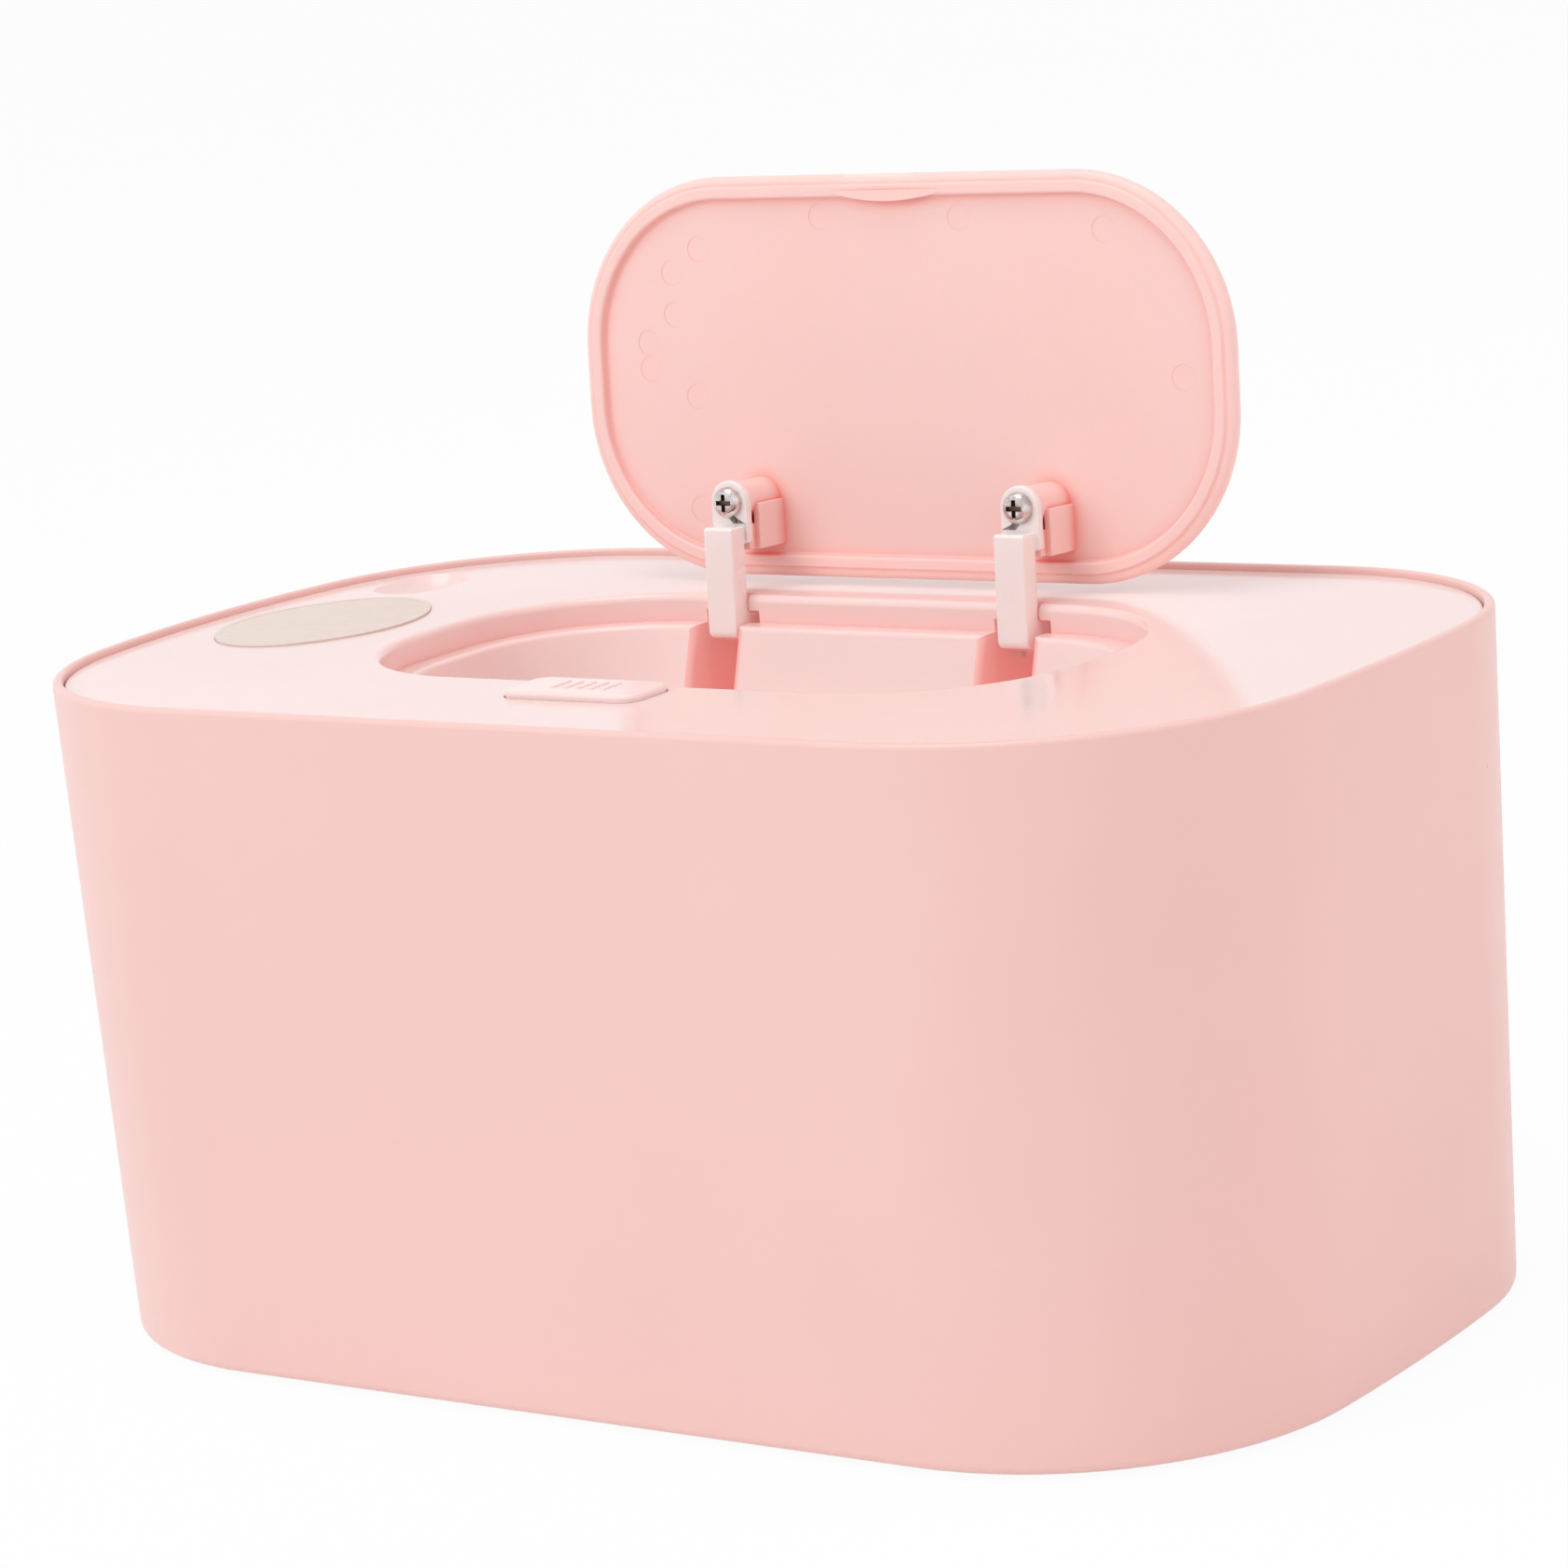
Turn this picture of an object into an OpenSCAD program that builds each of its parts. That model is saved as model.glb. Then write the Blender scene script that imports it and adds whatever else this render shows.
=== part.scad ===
// Wipe warmer with a spring-open flip lid. Millimetres, +Z up, origin at the centre of the
// footprint on the surface it stands on, front towards -Y. Drawn with the lid standing open.

/* [Body] */
// Width over the rim, left to right
body_w = 210; // [196:1:240]
// Depth over the rim, front to back
body_d = 129; // [124:1:145]
// Height of the moulded shell from its bottom edge to its rim
body_h = 100.5; // [96:0.5:125]
// Radius of the four upright corners, at the rim
corner_r = 46.4; // [42:0.2:50]
// Radius of the slightly bowed left and right sides
side_r = 170; // [150:5:300]
// How far each side leans in from the rim to the bottom edge
draft = 2.8; // [2:0.1:4]
// Wall of the shell
shell_wall = 2.4; // [2:0.1:2.8]
// Rounding of the bottom edge
bottom_r = 1.4; // [0.8:0.1:1.6]
// How far the feet stand below the shell
foot_proud = 0.8; // [0.5:0.1:1.4]

/* [Top panel] */
// How far the panel lies below the rim
panel_drop = 1.0; // [0.6:0.1:1.6]
// Thickness of the panel
panel_t = 2.3; // [2.2:0.1:2.8]
// Gap all round between the panel and the rim
panel_gap = 0.35; // [0.25:0.05:0.6]
// Width of the shelf inside the shell that carries the panel
shelf_w = 5; // [4.5:0.1:5.5]

/* [Well] */
// Width of the well that the lid closes
well_w = 118.2; // [114:0.2:122]
// Depth of the well, front to back
well_l = 63.4; // [62:0.2:66]
// Corner radius of the well
well_r = 27.1; // [25:0.1:29]
// How far the well's centre lies behind the panel's centre
well_y = 1.0; // [0:0.1:2]
// Depth of the step that the lid drops into
seat_depth = 4.2; // [4:0.1:4.6]
// Width of the flat ledge round the step
ledge_w = 3.1; // [2.8:0.1:3.4]
// Depth of the well's floor below the panel
well_depth = 18.5; // [18:0.5:20]
// Lean of the well's inner wall from upright
funnel_a = 18; // [14:1:20]
// Wall of the well and of the hinge pockets
well_wall = 2; // [1.8:0.1:2.2]
// Width of the opening that the wipes are pulled through
mouth_w = 84; // [60:1:88]
// Depth of that opening, front to back
mouth_l = 26; // [20:1:28]

/* [Lid] */
// Gap between the closed lid and each side of the well
lid_gap = 0.6; // [0.4:0.05:0.8]
// Gap between the closed lid and the front of the well
front_gap = 0.35; // [0.3:0.05:0.5]
// Gap behind the closed lid, which its rear edge needs to swing clear of the panel
rear_gap = 1.25; // [1.2:0.05:1.4]
// How far the closed lid's rim stands above the ledge
rim_lift = 1; // [0.9:0.1:1.3]
// Height of the lid from its rim to its outer face
lid_h = 3.6; // [3.4:0.1:4.4]
// Thickness of the lid's plate
lid_plate_t = 2.4; // [2.2:0.1:3.2]
// Thickness of the skirt and of the ridge inside it
skirt_t = 1.3; // [1.1:0.1:1.4]
// Rounding of the lid's outer edge
lid_edge_r = 2.4; // [1.5:0.1:2.6]
// Groove between the skirt and the ridge
groove_w = 1.3; // [1.2:0.1:1.6]
// Angle between the closed lid and the open lid
open_a = 93; // [85:1:94]

/* [Hinge] */
// Distance of each hinge arm from the middle
hinge_x = 26.2; // [22:0.2:32]
// Pivot, behind the rear wall of the well
pivot_back = 6.1; // [5.9:0.05:6.2]
// Pivot, below the top of the panel
pivot_drop = 5.9; // [5.8:0.05:6]
// Width of an arm
arm_w = 5.3; // [4.8:0.1:5.6]
// Diameter of a hinge pin
pin_d = 2.4; // [2:0.1:2.6]
// Radial running clearance of the pin
pin_play = 0.05; // [0.03:0.01:0.08]
// Diameter of the hinge screw's head
screw_head_d = 4.8; // [4.2:0.1:5]

/* [Latch] */
// Width of the push button
button_w = 23; // [22:0.5:26]
// Depth of the push button, front to back
button_l = 10.4; // [10:0.1:10.8]
// How far the button lies to the left of the middle
button_off = 2.4; // [0:0.1:3]
// How far the button stands above the panel
button_proud = 1.1; // [0.8:0.1:1.4]
// Travel of the button, and of the bolt that it draws back
button_travel = 1.3; // [1.2:0.05:1.4]

/* [Oval plate and finger recess] */
// Width of the oval plate
oval_w = 30.8; // [26:0.2:34]
// Length of the oval plate
oval_l = 39; // [36:0.5:42]
// From the panel's left edge to the oval plate
oval_edge = 4.55; // [2.25:0.1:6.85]
// Width of the finger recess
recess_w = 10; // [9:0.5:10.5]
// Length of the finger recess
recess_l = 16.5; // [14:0.5:17]
// Depth of the finger recess
recess_deep = 2.6; // [2:0.1:2.8]

/* [Tank] */
// Wall of the tank
tank_wall = 1.5; // [1.2:0.1:2]
// Height of the tank's underside above the table
tank_z = 24; // [23:0.5:26]

/* [Hidden] */
$fn = 96;

shell_pink = "#f3c9c4";
panel_pink = "#f8ddd8";
lid_pink = "#fbc9c2";
milky = "#f5dcd8";
eps = 0.01;        // overlap that makes a cut run clean through
seam_a = 0.1;      // how far a bowed side runs on into the corners beside it
seam_step = 0.02;  // how far it lies inside them there, so that the two meet in a clean edge
touch = 0.3;       // clearance between pieces that are seated but not fastened

// ---- outline of the body: straight front and back, bowed sides, round corners ----
corner_y = body_d / 2 - corner_r;
side_a = asin(corner_y / (side_r - corner_r));
side_x = body_w / 2 - side_r;
corner_x = side_x + (side_r - corner_r) * cos(side_a);

// ---- heights ----
shell_z = foot_proud;
rim_z = shell_z + body_h;
panel_z = rim_z - panel_drop;
panel_under = panel_z - panel_t;
ledge_z = panel_z - seat_depth;
floor_z = panel_z - well_depth;

// Points of an arc round [x, y], from angle a to angle b.
arc_steps = 6;
function arc(x, y, r, a, b) =
    [for (i = [0 : arc_steps]) let (t = a + (b - a) * i / arc_steps) [x + r * cos(t), y + r * sin(t)]];

// Carries a profile round the body. The profile's x = 0 is the rim's outline, its y is height.
module round_body() {
    for (m = [0, 1]) mirror([0, m, 0]) {
        translate([corner_x, -body_d / 2, 0])
            rotate([0, 0, -90])
                rotate([90, 0, 0])
                    linear_extrude(2 * corner_x) children();
        for (n = [0, 1]) mirror([n, 0, 0])
            translate([corner_x, -corner_y, 0])
                rotate([0, 0, -90])
                    rotate_extrude(angle = 90 - side_a) translate([corner_r, 0]) children();
    }
    for (n = [0, 1]) mirror([n, 0, 0])
        translate([side_x, 0, 0])
            rotate([0, 0, -side_a - seam_a])
                rotate_extrude(angle = 2 * (side_a + seam_a))
                    translate([side_r - seam_step, 0]) children();
}

// The area inside the body's outline, moved out by grow.
module body_area(grow) {
    for (x = [-1, 1], y = [-1, 1])
        translate([x * corner_x, y * corner_y]) circle(corner_r + grow);
    square([2 * corner_x, body_d + 2 * grow], center = true);
    intersection() {
        translate([side_x, 0]) circle(side_r + grow);
        translate([-side_x, 0]) circle(side_r + grow);
        square([body_w + 2 * grow, 2 * (side_r + grow) * sin(side_a)], center = true);
    }
}

// Carries a profile round a rectangle with half sides hx and hy and corner radius r, and fills
// the middle from height z0 to z1. The profile reaches inwards from x = 0 to x = -band.
band = 12;
module round_rect_solid(hx, hy, r, z0, z1) {
    for (m = [0, 1]) mirror([0, m, 0]) {
        translate([hx - r, -hy, 0])
            rotate([0, 0, -90])
                rotate([90, 0, 0])
                    linear_extrude(2 * (hx - r)) children();
        for (n = [0, 1]) mirror([n, 0, 0])
            translate([hx - r, -hy + r, 0])
                rotate([0, 0, -90])
                    rotate_extrude(angle = 90) translate([r, 0]) children();
    }
    for (n = [0, 1]) mirror([n, 0, 0])
        translate([hx, hy - r, 0])
            rotate([90, 0, 0])
                linear_extrude(2 * (hy - r)) children();
    slab(2 * (hx - band + 2), 2 * (hy - band + 2), r - band + 2, z0, z1);
}

module rounded_square(w, l, r) {
    for (x = [-1, 1], y = [-1, 1])
        translate([x * (w / 2 - r), y * (l / 2 - r)]) circle(r, $fn = 48);
    square([w - 2 * r, l], center = true);
    square([w, l - 2 * r], center = true);
}

module slab(w, l, r, z0, z1) {
    translate([0, 0, z0]) linear_extrude(z1 - z0) rounded_square(w, l, r);
}

// ---- shell ----
function wall_x(z) = -draft * (1 - (z - shell_z) / body_h);   // outer face at height z
rim_r = 0.9;
shelf_t = 2.2;
shelf_under = panel_under - shelf_t;
shelf_chamfer = 3;

module shell_profile() {
    polygon(concat(
        arc(wall_x(shell_z + bottom_r) - bottom_r, shell_z + bottom_r, bottom_r, -90, 0),
        arc(wall_x(rim_z - rim_r) - rim_r, rim_z - rim_r, rim_r, 0, 90),
        arc(-shell_wall + rim_r / 2, rim_z - rim_r / 2, rim_r / 2, 90, 180),
        [[-shell_wall, panel_under],
         [-shell_wall - shelf_w, panel_under],
         [-shell_wall - shelf_w, shelf_under],
         [wall_x(shelf_under) - shell_wall - shelf_w + shelf_chamfer, shelf_under],
         [wall_x(shelf_under - shelf_chamfer) - shell_wall, shelf_under - shelf_chamfer],
         [wall_x(shell_z) - shell_wall, shell_z]]));
}

boss_r = 4.2;
boss_reach = corner_r - draft - shell_wall - boss_r - 1.2;   // from the corner's centre
boss_x = corner_x + boss_reach * cos(45);
boss_y = corner_y + boss_reach * sin(45);
boss_top = 20;
boss_rib = 1.6;
screw_d = 2.6;
screw_play = 0.05;

socket_w = 9;
socket_h = 3.3;
socket_play = 0.25;

module at_base_screws() {
    for (x = [-1, 1], y = [-1, 1]) translate([x * boss_x, y * boss_y, 0]) children();
}

module outer_shell() {
    color(shell_pink) difference() {
        union() {
            round_body() shell_profile();
            at_base_screws() translate([0, 0, plate_top])
                cylinder(r = boss_r, h = boss_top - plate_top, $fn = 48);
            intersection() {
                for (x = [-1, 1], y = [-1, 1])
                    translate([x * boss_x, y * boss_y, plate_top])
                        rotate([0, 0, atan2(y, x)])
                            translate([0, -boss_rib / 2, 0])
                                cube([2 * boss_r, boss_rib, boss_top - plate_top]);
                translate([0, 0, shell_z]) linear_extrude(body_h) body_area(-draft - shell_wall / 2);
            }
        }
        at_base_screws() translate([0, 0, plate_top - eps])
            cylinder(d = screw_d + 2 * screw_play, h = screw_len, $fn = 48);
        translate([0, body_d / 2, socket_z]) rotate([90, 0, 0])
            linear_extrude(6 * shell_wall, center = true)
                rounded_square(socket_w + 2 * socket_play, socket_h + 2 * socket_play,
                               socket_h / 2 + socket_play - eps);
    }
}

// ---- base plate, feet and screws ----
plate_z = shell_z + 0.8;
plate_t = 2.4;
plate_top = plate_z + plate_t;
plate_grow = -draft - shell_wall - touch;
lip_h = 4;
lip_t = 1.6;
foot_d = 14;
foot_sink = 1;
screw_len = 12;
head_d = 5.4;
head_h = 1.5;
post_d = 7;
foot_x = 62;
foot_y = 34;

board_w = 64;
board_l = 34;
board_t = 1.6;
board_z = 9;
board_back = 2;     // gap between the board and the rear wall of the shell
rear_wall = body_d / 2 + wall_x(board_z) - shell_wall;
board_y = rear_wall - board_back - board_l / 2;
board_hole_x = board_w / 2 - 4;
board_hole_y = board_l / 2 - 5;
board_screw_d = 2.2;
socket_z = board_z + board_t + socket_h / 2;

module at_feet() {
    for (x = [-1, 1], y = [-1, 1]) translate([x * foot_x, y * foot_y, 0]) children();
}

module at_board_screws() {
    for (x = [-1, 1], y = [-1, 1])
        translate([x * board_hole_x, board_y + y * board_hole_y, 0]) children();
}

module base_plate() {
    color(shell_pink) difference() {
        union() {
            translate([0, 0, plate_z]) linear_extrude(plate_t) body_area(plate_grow);
            difference() {
                translate([0, 0, plate_z]) linear_extrude(plate_t + lip_h) body_area(plate_grow - 1);
                translate([0, 0, plate_z - eps])
                    linear_extrude(plate_t + lip_h + 1) body_area(plate_grow - 1 - lip_t);
                at_base_screws() cylinder(r = boss_r + 1, h = 2 * boss_top, $fn = 48);
                at_base_screws() translate([-2 * boss_r, -2 * boss_r, plate_top])
                    cube([4 * boss_r, 4 * boss_r, boss_top]);
            }
            at_feet() translate([0, 0, plate_z]) cylinder(d = post_d, h = tank_z - plate_z, $fn = 48);
            at_board_screws() translate([0, 0, plate_z]) cylinder(d = 6, h = board_z - plate_z, $fn = 48);
        }
        at_base_screws() {
            translate([0, 0, plate_z - eps])
                cylinder(d = screw_d + 0.6, h = plate_t + 2 * eps, $fn = 48);
            translate([0, 0, plate_z - eps]) cylinder(d = head_d + 0.6, h = head_h + eps, $fn = 48);
        }
        at_feet() translate([0, 0, plate_z - eps])
            cylinder(d = foot_d + touch, h = foot_sink + eps, $fn = 48);
        at_board_screws() translate([0, 0, board_z - 4])
            cylinder(d = board_screw_d + 2 * screw_play, h = 4 + eps, $fn = 32);
    }
}

module rubber_feet() {
    color("#8d8a88") at_feet() {
        foot_h = plate_z + foot_sink;
        rotate_extrude() polygon(concat(
            [[0, 0]],
            arc(foot_d / 2 - 0.6, 0.6, 0.6, -90, 0),
            [[foot_d / 2, foot_h], [0, foot_h]]));
    }
}

// A pan-head screw pointing up, with its head's bearing face at z = 0, and a cross recess.
module pan_screw(shank_d, length, cap_d, cap_h) {
    dome_r = (cap_d * cap_d / 4 + cap_h * cap_h) / (2 * cap_h);
    difference() {
        union() {
            translate([0, 0, -cap_h / 4]) cylinder(d = shank_d, h = length + cap_h / 4, $fn = 32);
            intersection() {
                translate([0, 0, dome_r - cap_h]) sphere(dome_r, $fn = 64);
                translate([0, 0, -cap_h]) cylinder(d = cap_d, h = cap_h, $fn = 48);
            }
        }
        for (a = [0, 90]) rotate([0, 0, a])
            translate([-cap_d * 0.28, -cap_d * 0.06, -cap_h - eps])
                cube([cap_d * 0.56, cap_d * 0.12, cap_h * 0.7]);
    }
}

module base_screws() {
    color("silver") at_base_screws() translate([0, 0, plate_z + head_h])
        pan_screw(screw_d, screw_len - 1, head_d, head_h - 0.1);
}

// ---- tank, gasket and heater ----
tank_top = shelf_under - 1.5;
flange_t = 1.5;
tank_flange = -shell_wall - draft / 4 - 1;
tank_inner = -shell_wall - shelf_w - 2.8;
tank_lean = 2;
tank_round = 6;
tub_hx = corner_x + corner_r + tank_inner - 0.5;
tub_hy = body_d / 2 + tank_inner;
tub_r = corner_r + tank_inner;
tub_arc_x = -tank_lean - tank_round;
tub_arc_z = tank_z + tank_wall + tank_round;

// The tub has straight sides; only its flange follows the bowed shell.
module wipe_tank() {
    color("#e9e7e6") difference() {
        union() {
            round_rect_solid(tub_hx, tub_hy, tub_r, tank_z, tank_top - flange_t / 2)
                polygon(concat(
                    [[-band, tank_z]],
                    arc(tub_arc_x, tub_arc_z, tank_round + tank_wall, -90, 0),
                    [[tank_wall, tank_top - flange_t / 2], [-band, tank_top - flange_t / 2]]));
            round_body()
                polygon([[tank_flange, tank_top],
                         [tank_inner - 2.5, tank_top],
                         [tank_inner - 2.5, tank_top - flange_t],
                         [tank_flange, tank_top - flange_t]]);
        }
        round_rect_solid(tub_hx, tub_hy, tub_r, tank_z + tank_wall, tank_top + 1)
            polygon(concat(
                [[-band, tank_z + tank_wall]],
                arc(tub_arc_x, tub_arc_z, tank_round, -90, 0),
                [[0, tank_top - flange_t], [0, tank_top + 1], [-band, tank_top + 1]]));
    }
}

module tank_gasket() {
    color("#f4f2f0") round_body()
        polygon([[tank_flange - 0.5, tank_top],
                 [tank_flange - 0.5, shelf_under],
                 [-shell_wall - shelf_w + 0.6, shelf_under],
                 [-shell_wall - shelf_w + 0.6, tank_top]]);
}

film_w = 140;
film_l = 78;
film_t = 0.6;
pad_t = 6;
pad_w = 150;
pad_l = 84;
sensor_x = -20;
fuse_x = 20;
part_y = -14;       // the sensor and the fuse lie this far from the middle

module heater_film() {
    color("#b87333") difference() {
        slab(film_w, film_l, 6, tank_z - film_t, tank_z);
        at_feet() translate([0, 0, tank_z - 2 * film_t]) cylinder(d = post_d + 1, h = 3 * film_t);
    }
}

module insulation_pad() {
    color("#dcdad6") difference() {
        slab(pad_w, pad_l, 8, tank_z - film_t - pad_t, tank_z - film_t);
        at_feet() cylinder(d = post_d + 1, h = tank_z);
        translate([sensor_x, part_y, tank_z / 2]) cube([9, 7, tank_z], center = true);
        translate([fuse_x, part_y, tank_z / 2]) cube([16, 6, tank_z], center = true);
    }
}

module temperature_sensor() {
    color("#3b3b3d") translate([sensor_x, part_y, tank_z - film_t - 3]) {
        translate([-3.5, -2.5, 0]) cube([7, 5, 2]);
        translate([0, 0, 2]) cylinder(d = 4, h = 1, $fn = 32);
        for (y = [-1.3, 1.3]) translate([0, y, -3]) cylinder(d = 0.7, h = 3 + eps, $fn = 16);
    }
}

module thermal_fuse() {
    color("#c9b06a") translate([fuse_x, part_y, tank_z - film_t - 1.8]) rotate([0, 90, 0]) {
        cylinder(d = 3.6, h = 9, center = true, $fn = 32);
        cylinder(d = 0.8, h = 15, center = true, $fn = 16);
    }
}

// ---- electronics ----
module control_board() {
    top = board_z + board_t;
    color("#2f7d4f") difference() {
        translate([-board_w / 2, board_y - board_l / 2, board_z]) cube([board_w, board_l, board_t]);
        at_board_screws() translate([0, 0, board_z - eps])
            cylinder(d = board_screw_d + 0.4, h = board_t + 2 * eps, $fn = 32);
    }
    color("#26282b") translate([-9, board_y - 8, top]) cube([8, 8, 1.2]);
    color("#3a3d42") translate([10, board_y - 3, top]) cube([9, 9, 4]);
    color("#4a4f8a") for (x = [-20, -13]) translate([x, board_y + 8, top]) cylinder(d = 5, h = 6, $fn = 32);
    color("#f1efe9") translate([-22, board_y - board_l / 2 + 1, top]) cube([10, 5, 5]);
    color("#f1efe9") translate([6, board_y - board_l / 2 + 1, top]) cube([8, 5, 5]);
}

module board_screws() {
    color("silver") at_board_screws() translate([0, 0, board_z + board_t])
        mirror([0, 0, 1]) pan_screw(board_screw_d, board_t + 3.4, 4, 1.3);
}

module power_socket() {
    deep = 7.4;
    face = body_d / 2 + wall_x(socket_z) - 0.4;
    color("silver") translate([0, face, socket_z]) rotate([90, 0, 0]) {
        difference() {
            linear_extrude(deep) rounded_square(socket_w, socket_h, socket_h / 2 - eps);
            translate([0, 0, -eps]) linear_extrude(deep - 1)
                rounded_square(socket_w - 0.6, socket_h - 0.6, socket_h / 2 - 0.3 - eps);
        }
        translate([-3.3, -0.35, 0.8]) cube([6.6, 0.7, deep - 1]);
    }
}

// A lead through a list of points, as straight runs along the axes that meet in round bends.
module lead(points, d) {
    for (i = [1 : len(points) - 1]) {
        run = points[i] - points[i - 1];
        translate(points[i - 1])
            rotate(run[0] != 0 ? [0, sign(run[0]) * 90, 0] : run[1] != 0 ? [-sign(run[1]) * 90, 0, 0] : [0, 0, 0])
                cylinder(d = d, h = norm(run), $fn = 24);
    }
    for (i = [1 : len(points) - 2]) translate(points[i]) sphere(d = d * 1.3, $fn = 24);
}

lead_d = 1.3;
module heater_leads() {
    plug_y = board_y - board_l / 2 + 1;
    plug_z = board_z + board_t + 2.5;
    fuse_z = tank_z - film_t - 2.6;
    color("#c94b3f") lead([[sensor_x, plug_y, plug_z], [sensor_x, part_y, plug_z],
                           [sensor_x, part_y, tank_z - film_t - 6.1]], lead_d);
    color("#35373a") lead([[-14, plug_y, plug_z], [-14, plug_y - 9, plug_z],
                           [fuse_x - 7, plug_y - 9, plug_z], [fuse_x - 7, part_y, plug_z],
                           [fuse_x - 7, part_y, fuse_z]], lead_d);
    color("#d9d5cf") lead([[10, plug_y, plug_z], [10, plug_y - 5, plug_z],
                           [fuse_x + 7, plug_y - 5, plug_z], [fuse_x + 7, part_y, plug_z],
                           [fuse_x + 7, part_y, fuse_z]], lead_d);
}

// ---- well in the top panel ----
well_hx = well_w / 2;
well_hy = well_l / 2;
edge_r = 1.2;       // rounding of the panel's edge at the well
inner_r = 1;        // rounding of the ledge's inner edge
funnel_top = ledge_z - inner_r;
funnel_x = -ledge_w - inner_r;
funnel_run = (funnel_top - floor_z) * tan(funnel_a);

// Space inside the well, seen as a half section.
module well_space() {
    translate([0, well_y, 0])
        round_rect_solid(well_hx, well_hy, well_r, floor_z, panel_z + 1)
            polygon(concat(
                [[-band, floor_z], [funnel_x - funnel_run, floor_z]],
                arc(-ledge_w, ledge_z - inner_r, inner_r, 180, 90),
                [[0, ledge_z]],
                arc(edge_r, panel_z - edge_r, edge_r, 180, 90),
                [[edge_r, panel_z + 1], [-band, panel_z + 1]]));
}

module well_shell() {
    translate([0, well_y, 0])
        round_rect_solid(well_hx, well_hy, well_r, floor_z - well_wall, panel_under + eps)
            polygon([[-band, floor_z - well_wall],
                     [funnel_x - funnel_run + well_wall, floor_z - well_wall],
                     [funnel_x + well_wall, ledge_z - well_wall - inner_r],
                     [well_wall, ledge_z - well_wall],
                     [well_wall, panel_under + eps],
                     [-band, panel_under + eps]]);
}

// ---- hinge geometry, shared by panel, arms and lid ----
well_back = well_y + well_hy;
pivot_y = well_back + pivot_back;
pivot_z = panel_z - pivot_drop;
slot_in = hinge_x - 3.3;
slot_out = hinge_x + 4.1;
pocket_in = hinge_x - 4.9;
pocket_out = hinge_x + 4.9;
pocket_wall = 1.8;
pocket_back = pivot_y + 4.6;
arm_play = 0.4;

module both_sides() {
    for (n = [0, 1]) mirror([n, 0, 0]) children();
}

// Turns what is drawn in the closed lid's place to the open lid's place.
module opened() {
    translate([0, pivot_y, pivot_z]) rotate([-open_a, 0, 0]) translate([0, -pivot_y, -pivot_z]) children();
}

module pocket_shells() {
    both_sides() translate([pocket_in - pocket_wall, well_back - ledge_w - 8, floor_z - well_wall])
        cube([pocket_out - pocket_in + 2 * pocket_wall,
              pocket_back + pocket_wall - well_back + ledge_w + 8,
              panel_under - floor_z + well_wall]);
}

notch_back = well_back + 2.15;
module pocket_spaces() {
    both_sides() {
        translate([pocket_in, 0, 0]) rotate([90, 0, 90]) linear_extrude(pocket_out - pocket_in)
            polygon([[well_back + funnel_x - funnel_run + well_wall, floor_z],
                     [well_back + funnel_x + well_wall, funnel_top],
                     [pocket_back, funnel_top],
                     [pocket_back, floor_z]]);
        translate([pocket_in, well_back - eps, floor_z])
            cube([pocket_out - pocket_in, pocket_back - well_back, panel_under - floor_z]);
        translate([slot_in, well_y, floor_z])
            cube([slot_out - slot_in, well_hy, ledge_z - floor_z + eps]);
        translate([hinge_x - arm_w / 2 - arm_play, well_back - 2, ledge_z])
            cube([arm_w + 2 * arm_play, notch_back - well_back + 2, panel_t + seat_depth]);
        translate([pocket_in - 2 * pocket_wall, pivot_y, pivot_z]) rotate([0, 90, 0])
            cylinder(d = pin_d + 2 * pin_play, h = pocket_out - pocket_in + 4 * pocket_wall, $fn = 48);
    }
}

// ---- top panel ----
panel_area_grow = -shell_wall - panel_gap;
skirt_out = -shell_wall - shelf_w - 0.5;
skirt_w = 1.6;
skirt_z = tank_top + 0.3;
recess_x = body_w / 2 - 18;
recess_y = body_d / 2 - 32.5;
recess_floor = 1.6;
recess_r = (recess_w * recess_w / 4 + recess_deep * recess_deep) / (2 * recess_deep);
recess_pad = 0.88 * recess_w;    // the panel is thicker under the middle of the recess
oval_x = body_w / 2 + panel_area_grow - oval_edge - oval_w / 2;
oval_y = 2;
oval_t = 0.5;
oval_sink = 0.2;

// An oval of four arcs: end circles joined by two flatter ones.
oval_end_r = 12;
oval_side_r = (pow(oval_l / 2 - oval_end_r, 2) + pow(oval_w / 2, 2) - pow(oval_end_r, 2))
              / (2 * (oval_w / 2 - oval_end_r));
oval_cut = oval_side_r * (oval_l / 2 - oval_end_r) / (oval_side_r - oval_end_r);

module oval_area(grow) {
    for (y = [-1, 1]) translate([0, y * (oval_l / 2 - oval_end_r)]) circle(oval_end_r + grow);
    intersection() {
        translate([oval_w / 2 - oval_side_r, 0]) circle(oval_side_r + grow);
        translate([oval_side_r - oval_w / 2, 0]) circle(oval_side_r + grow);
        square([oval_w + 2 * grow, 2 * oval_cut * (oval_side_r + grow) / oval_side_r], center = true);
    }
}

module panel_skirt_profile() {
    polygon([[skirt_out, skirt_z], [skirt_out, panel_under + eps],
             [skirt_out - skirt_w, panel_under + eps], [skirt_out - skirt_w, skirt_z]]);
}

// A dish as wide as the recess, with round ends, that a fingertip fits.
module finger_dish() {
    translate([-recess_x, recess_y, panel_z - recess_deep + recess_r]) {
        rotate([90, 0, 0]) cylinder(r = recess_r, h = recess_l - recess_w, center = true);
        for (y = [-1, 1]) translate([0, y * (recess_l - recess_w) / 2, 0]) sphere(recess_r);
    }
}

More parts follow.
